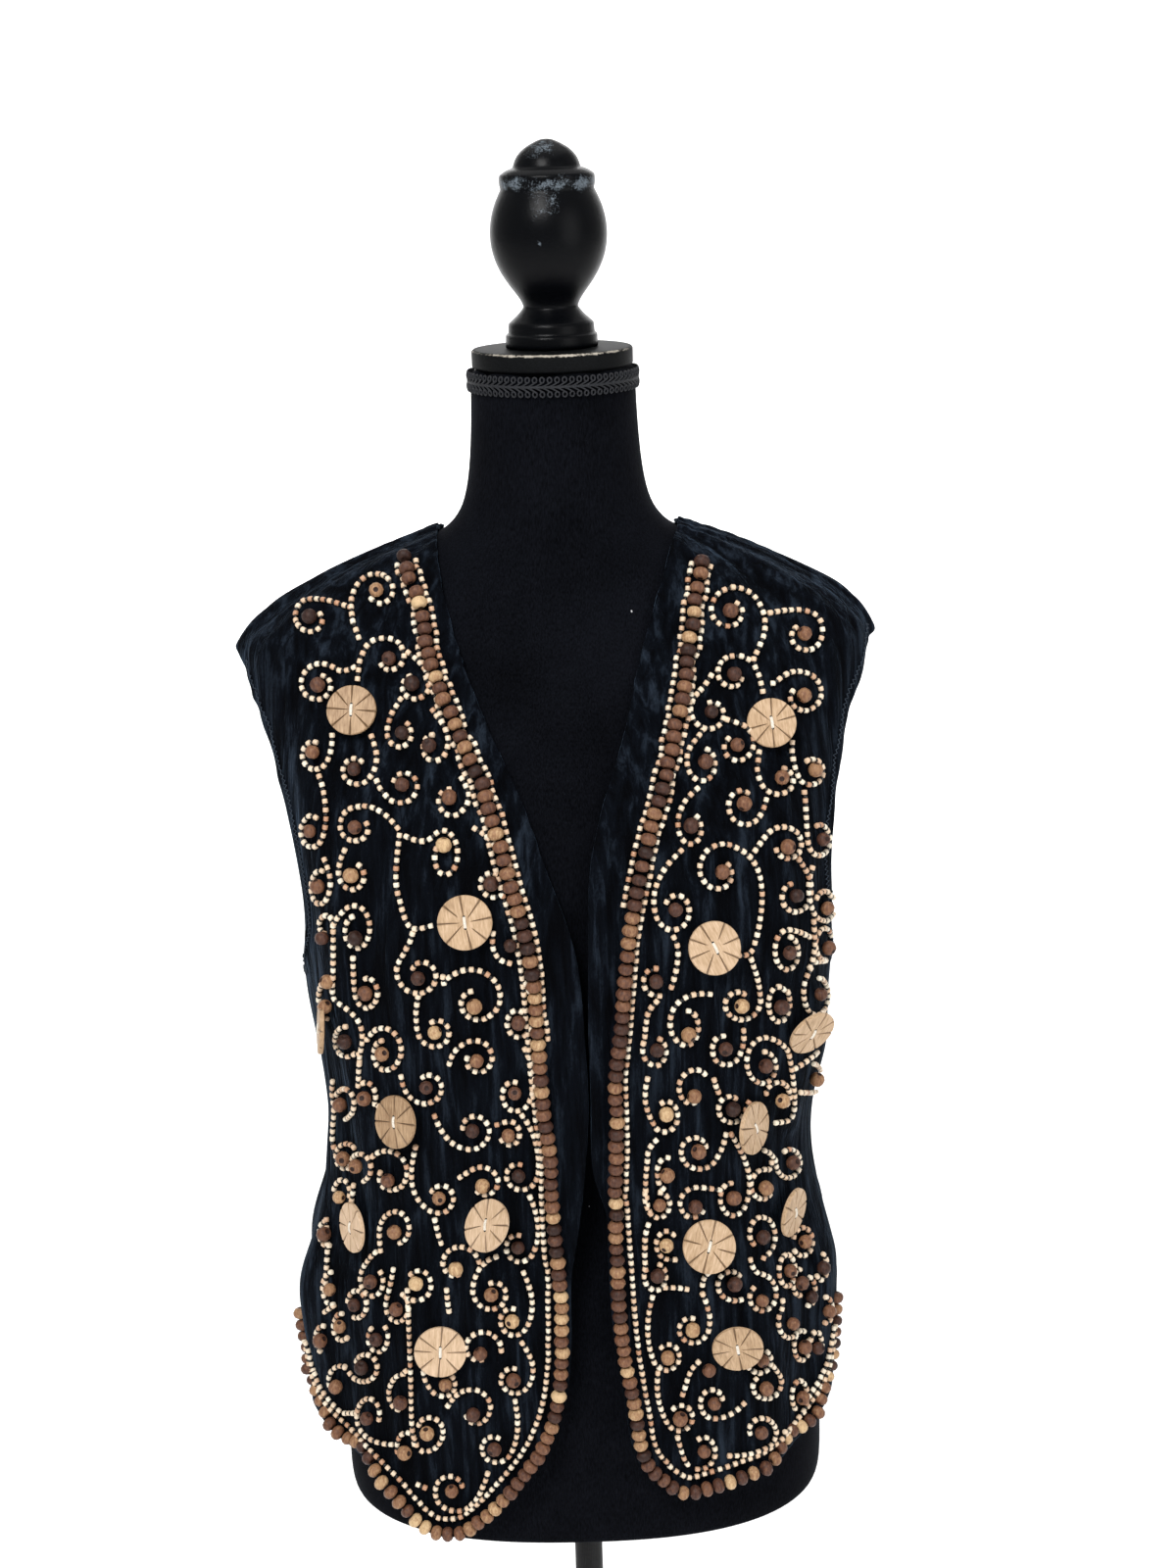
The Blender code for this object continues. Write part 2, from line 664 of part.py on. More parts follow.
def back_panel():
    """The grid of the back, from the shoulders and the neckline to the hem."""
    neck_reach = vest_section(NECK_POINT_HEIGHT)[0]
    tip_reach = vest_section(SHOULDER_TIP_HEIGHT)[0]
    low_outer = armhole_reach(UNDERARM, True)
    shoulder_columns = BACK_HALF_COLUMNS - BACK_NECK_COLUMNS

    half = []
    for i in range(BACK_HALF_COLUMNS + 1):
        u = i / BACK_HALF_COLUMNS
        if i < BACK_NECK_COLUMNS:
            behind_neck = 1 - i / BACK_NECK_COLUMNS
            top_height = NECK_POINT_HEIGHT - BACK_NECK_DROP * smoothstep(behind_neck)
            top_reach = reach_of_turn(math.pi / 2 * (1 + behind_neck), top_height)
        else:
            top_reach = neck_reach + (tip_reach - neck_reach) * (i - BACK_NECK_COLUMNS) / shoulder_columns
            top_height = seam_height(top_reach)
        low_turn = turn_of_share(side_share(UNDERARM, True) * u, UNDERARM, True)
        low_share = reach_of_turn(low_turn, UNDERARM) / low_outer
        line = upper_column((top_reach, top_height), lambda height: 0.0, low_share, BACK_UPPER_ROWS, True)
        if i >= BACK_NECK_COLUMNS:
            line[0] = (seam_turn(top_height, True), top_height)
        line[-1] = (low_turn, UNDERARM)
        for j in range(1, BACK_LOWER_ROWS + 1):
            v = j / BACK_LOWER_ROWS
            hem = BACK_HEM_MIDDLE + (BACK_HEM_SIDE - BACK_HEM_MIDDLE) * u**2
            height = UNDERARM + (hem - UNDERARM) * v
            line.append((turn_of_share(side_share(height, True) * u, height, True), height))
        half.append(line)

    grid = []
    for j in range(len(half[0])):
        left = [half[i][j] for i in range(BACK_HALF_COLUMNS, -1, -1)]
        right = [(-turn, height) for turn, height in left[-2::-1]]
        grid.append(left + right)
    return grid


def cloth_wall(name, grid, finish):
    """A panel of cloth: the grid's inside and outside faces, joined all round their edge."""
    rows = len(grid)
    columns = len(grid[0])
    bm = bmesh.new()
    layers = []
    for lift in (REST_ON_FORM, REST_ON_FORM + WALL):
        layer = []
        for row in grid:
            line = []
            for turn, height in row:
                point = vest_base(turn, height) + vest_normal(turn, height) * lift
                line.append(bm.verts.new(point))
            layer.append(line)
        layers.append(layer)
    inside, outside = layers
    for j in range(rows - 1):
        for i in range(columns - 1):
            bm.faces.new((outside[j][i], outside[j + 1][i], outside[j + 1][i + 1], outside[j][i + 1]))
            bm.faces.new((inside[j][i], inside[j][i + 1], inside[j + 1][i + 1], inside[j + 1][i]))
    around = [(0, i) for i in range(columns)] + [(j, columns - 1) for j in range(1, rows)]
    around += [(rows - 1, i) for i in range(columns - 2, -1, -1)] + [(j, 0) for j in range(rows - 2, 0, -1)]
    for (j, i), (next_j, next_i) in zip(around, around[1:] + around[:1]):
        bm.faces.new((inside[j][i], outside[j][i], outside[next_j][next_i], inside[next_j][next_i]))
    return finished(name, bm, finish)


# Making objects
def finished(name, bm, finish):
    """Turn a closed mesh into a named object whose faces point outwards."""
    bmesh.ops.recalc_face_normals(bm, faces=bm.faces)
    if bm.calc_volume(signed=True) < 0:
        bmesh.ops.reverse_faces(bm, faces=bm.faces)
    bmesh.ops.triangulate(bm, faces=bm.faces)
    mesh = bpy.data.meshes.new(name)
    bm.to_mesh(mesh)
    bm.free()
    mesh.shade_smooth()
    mesh.set_sharp_from_angle(angle=SHARP_EDGE)
    mesh.materials.append(finish)
    piece = bpy.data.objects.new(name, mesh)
    bpy.context.scene.collection.objects.link(piece)
    return piece


def material(name, colour, roughness, metallic=0.0):
    finish = bpy.data.materials.new(name)
    finish.use_nodes = True
    shader = finish.node_tree.nodes["Principled BSDF"]
    shader.inputs["Base Color"].default_value = (*colour, 1.0)
    shader.inputs["Roughness"].default_value = roughness
    shader.inputs["Metallic"].default_value = metallic
    return finish


def stacked_rings(name, rings, finish):
    """A closed solid through rings of points, with a flat face at each end."""
    bm = bmesh.new()
    lines = [[bm.verts.new(point) for point in ring] for ring in rings]
    for low, high in zip(lines, lines[1:]):
        for k in range(len(low)):
            n = (k + 1) % len(low)
            bm.faces.new((low[k], low[n], high[n], high[k]))
    bm.faces.new(lines[0][::-1])
    bm.faces.new(lines[-1])
    return finished(name, bm, finish)


def turned(name, profile, foot, finish, sides=TURNED_SIDES):
    """A solid of revolution round the pole. profile holds heights and radii."""
    rings = []
    for height, radius in profile:
        angles = [math.tau * k / sides for k in range(sides)]
        rings.append([(radius * math.cos(a), radius * math.sin(a), foot + height) for a in angles])
    return stacked_rings(name, rings, finish)


# The stand and the form
def form_ring(height, inward=0.0):
    """Points spaced evenly round the form's section, drawn in at a rounded edge."""
    sizes = form_section(height)
    per_quarter = FORM_SIDES // 4
    turns = []
    for start, end in ((0.0, math.pi / 2), (math.pi, math.pi / 2)):
        quarter_turns, lengths = quarter(sizes, start, end)
        places = np.linspace(0.0, lengths[-1], per_quarter + 1)
        turns.append(np.interp(places, lengths, quarter_turns).tolist())
    front, back = turns
    left_side = front + back[-2::-1]
    whole = left_side + [-turn for turn in left_side[-2:0:-1]]
    ring = []
    for turn in whole:
        x, y = section(turn, sizes[0] - inward, sizes[1] - inward, sizes[2] - inward, sizes[3])
        ring.append((float(x), float(y), height))
    return ring


def make_form(velvet):
    rings = []
    for share in (0.0, 0.35, 1.0):
        angle = share * math.pi / 2
        height = FORM_BOTTOM + BOTTOM_ROUND * (1 - math.cos(angle))
        ring = form_ring(height, BOTTOM_ROUND * (1 - math.sin(angle)))
        rings.append(ring)
    rings += [form_ring(level.height) for level in FORM_LEVELS[1:]]
    stacked_rings("form_torso", rings, velvet)


def make_neck_braid(gimp):
    inner = NECK_RADIUS + PIECE_GAP
    outer = inner + BRAID_THICK
    shoulder = outer - BRAID_ROUND
    top = NECK_TOP - BRAID_DROP
    bottom = top - BRAID_HEIGHT
    middle = (top + bottom) / 2
    profile = [(bottom, inner), (bottom, shoulder), (middle, outer), (top, shoulder), (top, inner)]
    bm = bmesh.new()
    rings = []
    for k in range(FORM_SIDES):
        angle = math.tau * k / FORM_SIDES
        rings.append([bm.verts.new((r * math.cos(angle), r * math.sin(angle), z)) for z, r in profile])
    for k in range(FORM_SIDES):
        here = rings[k]
        there = rings[(k + 1) % FORM_SIDES]
        for m in range(len(profile)):
            n = (m + 1) % len(profile)
            bm.faces.new((here[m], there[m], there[n], here[n]))
    finished("neck_braid", bm, gimp)


def make_neck_cap(wood):
    foot = NECK_TOP + PIECE_GAP
    profile = [
        (0.0, CAP_RADIUS - CAP_EDGE),
        (CAP_EDGE, CAP_RADIUS),
        (CAP_THICK - CAP_EDGE, CAP_RADIUS),
        (CAP_THICK, CAP_RADIUS - CAP_EDGE),
    ]
    turned("neck_cap", profile, foot, wood)
    return foot + CAP_THICK


def make_finial(foot, lacquer):
    profile = [(point.height, point.radius) for point in FINIAL_PROFILE]
    profile.append((FINIAL_TOP, FINIAL_TIP_RADIUS))
    turned("finial", profile, foot, lacquer)


def make_stand(iron, enamel):
    base = [
        (0.0, BASE_RADIUS - FOOT_EDGE),
        (FOOT_EDGE, BASE_RADIUS),
        (BASE_THICK - BASE_ROUND, BASE_RADIUS),
        (BASE_THICK - BASE_ROUND * 0.3, BASE_RADIUS - BASE_ROUND * 0.3),
        (BASE_THICK, BASE_RADIUS - BASE_ROUND),
    ]
    turned("stand_base", base, 0.0, iron, sides=2 * TURNED_SIDES)
    hub = [
        (0.0, HUB_RADIUS),
        (HUB_HEIGHT * 0.35, HUB_RADIUS),
        (HUB_HEIGHT * 0.55, HUB_RADIUS * 0.72),
        (HUB_HEIGHT * 0.95, HUB_RADIUS * 0.66),
        (HUB_HEIGHT, HUB_RADIUS * 0.60),
    ]
    hub_foot = BASE_THICK + PIECE_GAP
    turned("stand_hub", hub, hub_foot, iron)
    pole_foot = hub_foot + HUB_HEIGHT + PIECE_GAP
    pole_length = FORM_BOTTOM - PIECE_GAP - pole_foot
    turned("stand_pole", [(0.0, POLE_RADIUS), (pole_length, POLE_RADIUS)], pole_foot, enamel, sides=POLE_SIDES)


# Wooden trimmings, seated on the panels' own faces
def tree_of(piece):
    bm = bmesh.new()
    bm.from_mesh(piece.data)
    tree = BVHTree.FromBMesh(bm)
    bm.free()
    return tree


def seat_on(tree, turn, height):
    """The outer face of a panel straight over a place, and the direction out of it."""
    normal = Vector(vest_normal(turn, height))
    start = Vector(vest_base(turn, height)) + normal * PROBE
    hit = tree.ray_cast(start, -normal, 2 * PROBE)[0]
    if hit is None:
        hit = start - normal * (PROBE - REST_ON_FORM - WALL)
    return hit, normal


def bead_path(side, bead_rows):
    """Angles and heights along a row of large beads, close together."""
    line = curve_by_length(bead_rows)
    path = []
    for share in np.linspace(0.0, 1.0, BEAD_ROW_STEPS + 1):
        along, height = line(share)
        turn = turn_of_share(share_of_along(along, height), height)
        path.append((side * turn, float(height)))
    return path


def make_bead_row(name, side, panel, bead_rows, wood):
    """Large beads, threaded edge to edge into one strip: wide at each middle, narrow between two."""
    tree = tree_of(panel)
    path = np.array(bead_path(side, bead_rows))
    points = np.array([vest_base(turn, height) for turn, height in path])
    lengths = np.concatenate([[0.0], np.cumsum(np.linalg.norm(np.diff(points, axis=0), axis=1))])
    beads = int(lengths[-1] / BEAD_PITCH)
    seats = []
    for station in np.linspace(0.0, lengths[-1], 2 * beads + 1):
        turn = float(np.interp(station, lengths, path[:, 0]))
        height = float(np.interp(station, lengths, path[:, 1]))
        seats.append(seat_on(tree, turn, height))
    rings = []
    for k, (seat, normal) in enumerate(seats):
        before = seats[max(k - 1, 0)][0]
        after = seats[min(k + 1, len(seats) - 1)][0]
        forward = (after - before).normalized()
        across = forward.cross(normal).normalized()
        upward = across.cross(forward).normalized()
        radius = BEAD_RADIUS if k % 2 else BEAD_RADIUS * BEAD_NECK
        centre = seat + normal * (BEAD_RADIUS * math.cos(math.pi / BEAD_SIDES) + TRIM_CLEARANCE)
        ring = []
        for m in range(BEAD_SIDES):
            angle = math.tau * (m + 0.5) / BEAD_SIDES - math.pi / 2
            ring.append(centre + (across * math.cos(angle) + upward * math.sin(angle)) * radius)
        rings.append(ring)
    stacked_rings(name, rings, wood)


def faced(turn, rise):
    """The direction that lies this many degrees round from the front and above the level."""
    level = math.cos(math.radians(rise))
    round_angle = math.radians(turn)
    return Vector((level * math.sin(round_angle), -level * math.cos(round_angle), math.sin(math.radians(rise))))


def lift_to_clear(tree, seat, normal, spokes):
    """How far a tilted disc's back face stands off, so that no part of it touches the cloth."""
    lift = 0.0
    for spoke in spokes:
        for share in (0.5, 1.0):
            place = seat + spoke * share
            hit = tree.ray_cast(place + normal * PROBE, -normal, 2 * PROBE)[0]
            if hit is not None:
                lift = max(lift, (hit - place).dot(normal))
    return lift


def make_discs(panels, wood):
    """Turned wooden discs, each hung on the cloth by its middle."""
    trees = {side: tree_of(panel) for side, panel in panels.items()}
    for number, disc in enumerate(DISCS, 1):
        tree = trees[disc.side]
        seat, normal = seat_on(tree, turn_of_reach(disc.side * disc.reach, disc.height), disc.height)
        facing = faced(disc.turn, disc.rise)
        across = Vector((0, 0, 1)).cross(facing).normalized()
        upward = facing.cross(across).normalized()
        spokes = []
        for k in range(DISC_SIDES):
            angle = math.tau * k / DISC_SIDES
            spokes.append((across * math.cos(angle) + upward * math.sin(angle)) * disc.radius)
        foot = seat + normal * (lift_to_clear(tree, seat, normal, spokes) + TRIM_CLEARANCE)
        rings = [[foot + facing * lift + spoke for spoke in spokes] for lift in (0.0, DISC_THICK)]
        stacked_rings(f"disc_{number:02d}", rings, wood)


def clear_scene():
    for piece in list(bpy.data.objects):
        bpy.data.objects.remove(piece, do_unlink=True)


def main():
    clear_scene()
    velvet = material("crushed_velvet", (0.012, 0.013, 0.020), 0.75)
    form_velvet = material("form_velvet", (0.010, 0.010, 0.012), 0.85)
    gimp = material("black_gimp", (0.014, 0.014, 0.015), 0.6)
    bead_wood = material("bead_wood", (0.26, 0.13, 0.06), 0.45)
    disc_wood = material("disc_wood", (0.52, 0.36, 0.21), 0.55)
    painted_wood = material("painted_wood", (0.012, 0.012, 0.012), 0.45)
    lacquer = material("black_lacquer", (0.010, 0.010, 0.010), 0.2)
    enamel = material("black_enamel", (0.012, 0.012, 0.012), 0.25)
    iron = material("black_iron", (0.015, 0.015, 0.015), 0.5, 0.6)

    make_stand(iron, enamel)
    make_form(form_velvet)
    make_neck_braid(gimp)
    cap_top = make_neck_cap(painted_wood)
    make_finial(cap_top + PIECE_GAP, lacquer)

    front_right = cloth_wall("front_right", front_panel(-1, EDGE_RIGHT, HEM_RIGHT), velvet)
    front_left = cloth_wall("front_left", front_panel(1, EDGE_LEFT, HEM_LEFT), velvet)
    cloth_wall("back", back_panel(), velvet)

    make_bead_row("edge_beads_right", -1, front_right, BEADS_RIGHT, bead_wood)
    make_bead_row("edge_beads_left", 1, front_left, BEADS_LEFT, bead_wood)
    make_discs({-1: front_right, 1: front_left}, disc_wood)


main()
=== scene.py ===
"""Looks of the velvet vest on its dress form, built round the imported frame.

Metres, +Z up, the front facing -Y. The vest's three velvet panels are thin shells on
their solids' forms. The beadwork is set out in the photograph's pixels, 1200 across and
1600 down, and is carried along the camera's rays onto the cloth that it is sewn to.
"""

import json
import math
from collections import namedtuple

import bmesh
import bpy
import numpy as np
from mathutils import Matrix, Vector, noise
from mathutils.bvhtree import BVHTree
from mathutils.kdtree import KDTree

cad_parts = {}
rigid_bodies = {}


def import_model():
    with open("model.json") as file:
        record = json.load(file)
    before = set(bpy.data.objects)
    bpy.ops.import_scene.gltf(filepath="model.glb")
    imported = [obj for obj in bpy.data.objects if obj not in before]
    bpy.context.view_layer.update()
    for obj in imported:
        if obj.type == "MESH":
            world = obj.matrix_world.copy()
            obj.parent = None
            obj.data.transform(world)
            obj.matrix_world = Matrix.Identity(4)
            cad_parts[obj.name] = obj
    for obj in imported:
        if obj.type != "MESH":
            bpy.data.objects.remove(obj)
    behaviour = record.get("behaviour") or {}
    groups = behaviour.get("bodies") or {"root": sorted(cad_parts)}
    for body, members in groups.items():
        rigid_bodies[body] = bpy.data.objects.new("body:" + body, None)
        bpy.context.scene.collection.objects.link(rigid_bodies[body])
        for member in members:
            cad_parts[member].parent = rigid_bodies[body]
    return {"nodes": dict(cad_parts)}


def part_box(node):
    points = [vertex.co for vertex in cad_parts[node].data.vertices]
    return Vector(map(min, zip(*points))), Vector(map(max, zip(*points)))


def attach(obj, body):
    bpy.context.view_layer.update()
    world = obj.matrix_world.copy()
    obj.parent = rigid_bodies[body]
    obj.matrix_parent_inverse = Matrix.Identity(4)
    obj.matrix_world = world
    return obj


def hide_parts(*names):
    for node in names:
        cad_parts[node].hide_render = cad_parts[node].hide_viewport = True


# The camera: a focal length in pixels of the photograph, and the place and tilt of the view
PHOTO_WIDTH = 1200
PHOTO_HEIGHT = 1600
FOCAL_PIXELS = 2400
SENSOR = 36.0
CAMERA_PLACE = Vector((0.015, -1.500, 1.545))
CAMERA_PITCH = math.radians(16.0)
CAMERA_ROLL = math.radians(1.6)

# The cloth: its wall, its fit to the form, its turned hem and its crinkles
SHELL_THICK = 0.0018
SHELL_LEVELS = 3
FORM_LEVELS = 2
FIT_PASSES = 3
CLEAR_OF_FORM = 0.0025
FORM_REACH = 0.02
WELD = 0.00002
HEM_WIDTH = 0.0075
HEM_FADE = 0.0016
HEM_LIFT = 0.0006
CRINKLE_COARSE = 0.0012
CRINKLE_FINE = 0.00055
SHOULDER_EXTRA = 1.4
SHOULDER_FOOT = 1.08
SHOULDER_RISE = 0.10

# How a panel's flat size is measured: levels, the band at each, and the body's curve
CUT_STEP = 0.02
CUT_BAND = 0.004
CUT_PLACES = 40
BODY_CURVE = 1.04
FULLEST_SHARE = 0.96

# Seed beads, and the black ones between them
SEED_RADIUS = 0.0018
SEED_LENGTH = 0.0030
SEED_PITCH = 0.0053
SEED_SIDES = 7
SEED_SINK = 0.95
SPACER_RADIUS = 0.0016
SPACER_SIDES = 6

# Wooden beads: their size, their holes with painted shade in them, and their mix of tones
EYE_RADIUS = 0.0047
EDGE_BEAD_RADIUS = 0.0042
BEAD_BULGE = 1.17
BEAD_SIDES = 10
HOLE_SHARE = 0.24
HOLE_SHADE_TONE = -1.2
TONE_SPREAD = 0.24
ENDWISE_SHARE = 0.30
ENDWISE_LEAN = 1.6
EYE_TONE = 0.42
EDGE_TONE = 0.44
SEED_TONE = 0.56
SEED_TONE_SPREAD = 0.28
LIGHTEST_CLEAR = 0.0002

# Where the cloth faces sideways and low, the edge beads hang on its edge
HANG_FACING = 0.50
HANG_FADE = 0.30
HANG_BELOW = 0.95
HANG_DROP = 0.10
OUTWARD = {"right": 1, "left": -1}

# The rows of seeds beside the edge beads, as shares of the way along them
BORDER_PITCH = 0.0054
ROW_GAP = 0.0061
ROW_STEP = 0.0054
HEM_ROW_SPREAD = 0.0032
SPREAD_START = 0.46
SPREAD_FADE = 0.12
ROW_END = 0.98
OPENING_ROW_END = {"right": 0.36, "left": 0.27}
SECOND_ROW_START = 0.90

# The discs and their thread
DISC_THICK = 0.0030
DISC_RIM = 0.0005
DISC_STEPS = 96
DISC_GROOVES = 8
GROOVE_DEPTH = 0.0009
GROOVE_START = 0.12
GROOVE_SWING = 0.34
GROOVE_START_SPREAD = 0.26
DISC_RINGS = (0.76, 0.55, 0.42, 0.30, 0.20, 0.12, 0.02)
DISC_SHIFT_LIMIT = 0.003
DISC_LEAN = 40
DISC_HOLE_SPREAD = 0.0036
DISC_HOLE_RADIUS = 0.0009
THREAD_RADIUS = 0.00058
THREAD_SHIFT = 0.0004
THREAD_BOW = 0.0006
THREAD_DIP = 0.0008

# Turned pieces keep their sharp rings by a crease
SHARP_RING = math.radians(38)
RING_CREASE = 0.75

# The braid round the neck
NECK_RADIUS = 0.0525
BRAID_LOOPS = 74
BRAID_CORD = 0.00052
BRAID_STAND = 0.0012
BRAID_BOW = 0.0007
RING_STEPS = 96

# The zigzag seam at the armholes
STITCH_INSET = 0.0080
STITCH_SWING = 0.0013
STITCH_STEP = 0.0016
STITCH_RADIUS = 0.00042
ARMHOLE_OUT = 0.125
ARMHOLE_UP = 0.95
SEAM_CLEAR = 0.006
SHORTEST_RUN = 20

# The studio
FLOOR_SIZE = 14.0
WALL_PLACE = 6.9
WALL_HEIGHT = 5.0
WALL_CURVE = 1.5
WORLD_STRENGTH = 0.50

# A crease in the cloth: degrees round the form, its two ends, its lean and its size
Crease = namedtuple("Crease", "turn top bottom lean depth width")
CREASES = [Crease(*row) for row in (
    (-57, 1.110, 0.850, 2, 0.0042, 4),
    (-66, 1.180, 0.960, 6, 0.0022, 5),
    (-49, 1.100, 0.900, -4, -0.0018, 4),
    (-38, 1.200, 1.060, 9, 0.0014, 4),
    (-70, 0.980, 0.720, -3, 0.0030, 5),
    (-40, 0.830, 0.690, 0, 0.0036, 3.5),
    (-30, 0.860, 0.680, 3, 0.0016, 4),
    (-49, 0.840, 0.660, -3, -0.0020, 4),
    (63, 1.010, 0.880, 0, 0.0042, 4),
    (58, 1.160, 1.000, -6, 0.0020, 5),
    (46, 1.080, 0.880, 4, -0.0016, 4),
    (74, 1.000, 0.760, 3, 0.0028, 5),
    (36, 0.880, 0.690, -3, 0.0020, 4),
    (26, 0.800, 0.665, 5, 0.0016, 4),
    (112, 1.150, 0.840, -5, 0.0026, 6),
    (134, 1.060, 0.760, 4, -0.0018, 5),
    (158, 1.120, 0.800, -4, 0.0024, 6),
    (176, 0.960, 0.710, 3, 0.0024, 6),
    (-162, 1.080, 0.780, 5, -0.0018, 5),
    (-140, 1.140, 0.860, -5, 0.0026, 6),
    (-118, 1.040, 0.740, 4, 0.0022, 5),
    (-98, 0.960, 0.740, -3, 0.0024, 5),
    (98, 0.980, 0.730, 3, 0.0024, 5),
)]

# The vine's scrolls, each a spiral that winds out from an eye bead and leaves by a stem.
# eye_x, eye_y: the eye bead; loop: the widest radius; start, sweep: hours on a clock's face,
# clockwise above zero; end_x, end_y: where the stem ends, none where end_x is zero;
# tall: height over width; drop: how far the loop's middle lies under the eye.
Scroll = namedtuple("Scroll", "eye_x eye_y loop start sweep end_x end_y tall drop", defaults=(0, 0, 1.0, 0))
SCROLL_HEART = 9.5
SPIRAL_GROWTH = 1.2
STEM_PULL = 0.45
STEM_STEPS = 8
ROUNDING_STEPS = 4
LONGEST_JUMP = 0.03
SCROLLS_RIGHT = [Scroll(*row) for row in (
    (319, 632, 20, 1.5, 11, 362, 622),
    (387, 605, 20, 8, -9.5, 368, 655),
    (397, 672, 21, 8.5, -9, 365, 697),
    (327, 699, 23, 12, 13.5, 366, 680),
    (423, 700, 15, 12, -8, 414, 664),
    (410, 748, 14, 12.5, 9, 413, 711, 1.2),
    (443, 762, 13, 12.5, -9, 439, 722, 1.2),
    (322, 767, 15, 1, -9.5, 340, 746, 1.2, 2),
    (364, 785, 17, 2, -10, 379, 748),
    (412, 801, 18, 9, 9, 384, 793),
    (366, 844, 21, 1.5, 10.5, 409, 848),
    (460, 814, 17, 12.5, -9, 469, 791, 1.1, 2),
    (320, 847, 12, 1.5, -10, 326, 788, 1.5),
    (454, 862, 17, 10.5, -12, 413, 852, 1.6, 11),
    (362, 892, 15, 12.5, 9, 355, 864, 1.2),
    (329, 903, 9, 1, -9, 331, 873, 1.9, 2),
    (503, 901, 16, 1.5, -10, 482, 843),
    (364, 955, 18, 12, -13.5, 341, 946, 1.45, -7),
    (335, 956, 7, 6, 10, 0, 0, 1.3, -13),
    (376, 1011, 13, 11, 10, 361, 973, 1.4),
    (430, 996, 26, 9.5, 13, 423, 948, 1, -3),
    (485, 1024, 36, 12, -14, 453, 992, 1, -4),
    (529, 1041, 14, 1.5, -10, 534, 999, 1.2, 1),
    (338, 1025, 11, 12.5, -6.5, 0, 0, 2, -8),
    (355, 1060, 13, 12.5, -8, 368, 1086, 1.4),
    (394, 1073, 21, 12, -14, 373, 1057, 1.3),
    (446, 1051, 19, 10.5, 10.5, 428, 1012),
    (487, 1080, 21, 10, -11.5, 458, 1088),
    (437, 1107, 20, 10.5, 9, 410, 1094),
    (374, 1118, 11, 11, 5, 391, 1127, 1.5),
    (525, 1113, 17, 1, -9.5, 534, 1066, 1.2, 2),
    (353, 1125, 11, 10, 8, 0, 0, 1.5),
    (483, 1151, 22, 8.5, 10.5, 443, 1134),
    (520, 1156, 12, 8.5, -9.5, 503, 1147, 1.1),
    (355, 1180, 12, 5, 9, 0, 0, 1.2),
    (369, 1188, 12, 9, 8.5, 0, 0, 1.3, 2),
    (399, 1202, 23, 10, -10.5, 380, 1181, 1.1, -4),
    (450, 1220, 18, 9.5, 10, 426, 1166),
    (494, 1207, 19, 8, -9.5, 468, 1202),
    (530, 1197, 19, 1, -10, 531, 1134),
    (351, 1220, 8, 9, 7, 0, 0, 1.6, -4),
    (407, 1255, 19, 6, -9.5, 390, 1279, 1.3),
    (336, 1258, 8, 12, -7, 0, 0, 1.6),
    (529, 1270, 17, 1, -9.5, 539, 1217, 1.1),
    (467, 1292, 20, 5, 8, 490, 1290, 1, -2),
    (427, 1308, 18, 10, 9.5, 415, 1322, 1.1),
    (382, 1306, 13, 1, 9.5, 387, 1275, 1.4),
    (340, 1314, 9, 12.5, -7, 331, 1339, 1.8),
    (503, 1318, 21, 11, 10.5, 491, 1291),
    (366, 1330, 10, 9, 10, 0, 0, 1.4),
    (408, 1334, 13, 12.5, 9.5, 403, 1291, 1.4, -2),
    (523, 1345, 17, 1, -9.5, 533, 1294, 1.1),
    (351, 1351, 9, 12.5, -8, 0, 0, 1.5, 2),
    (387, 1364, 11, 11, -10, 0, 0, 1.4),
    (331, 1365, 7, 1, -7, 0, 0, 1.9),
    (490, 1378, 20, 5, 8.5, 512, 1380, 1, -2),
    (374, 1393, 15, 9.5, 9.5, 357, 1397, 1.1),
    (524, 1405, 18, 1, -9.5, 531, 1366),
    (454, 1410, 15, 1, 7, 433, 1396),
    (347, 1412, 12, 8, 5, 353, 1390, 1.4, -3),
    (411, 1428, 17, 6, 6.5, 412, 1395, 1.4, -4),
    (485, 1440, 20, 8.5, -9, 455, 1436, 1.1, -2),
    (379, 1445, 14, 4, -9, 404, 1473, 1.5, -2),
    (437, 1458, 20, 9.5, 9, 430, 1476, 1.1),
    (505, 1475, 18, 1.5, -10, 525, 1425),
    (416, 1479, 10, 8, 7, 0, 0, 1.6, -3),
    (462, 1518, 22, 3, -9, 499, 1499),
)]
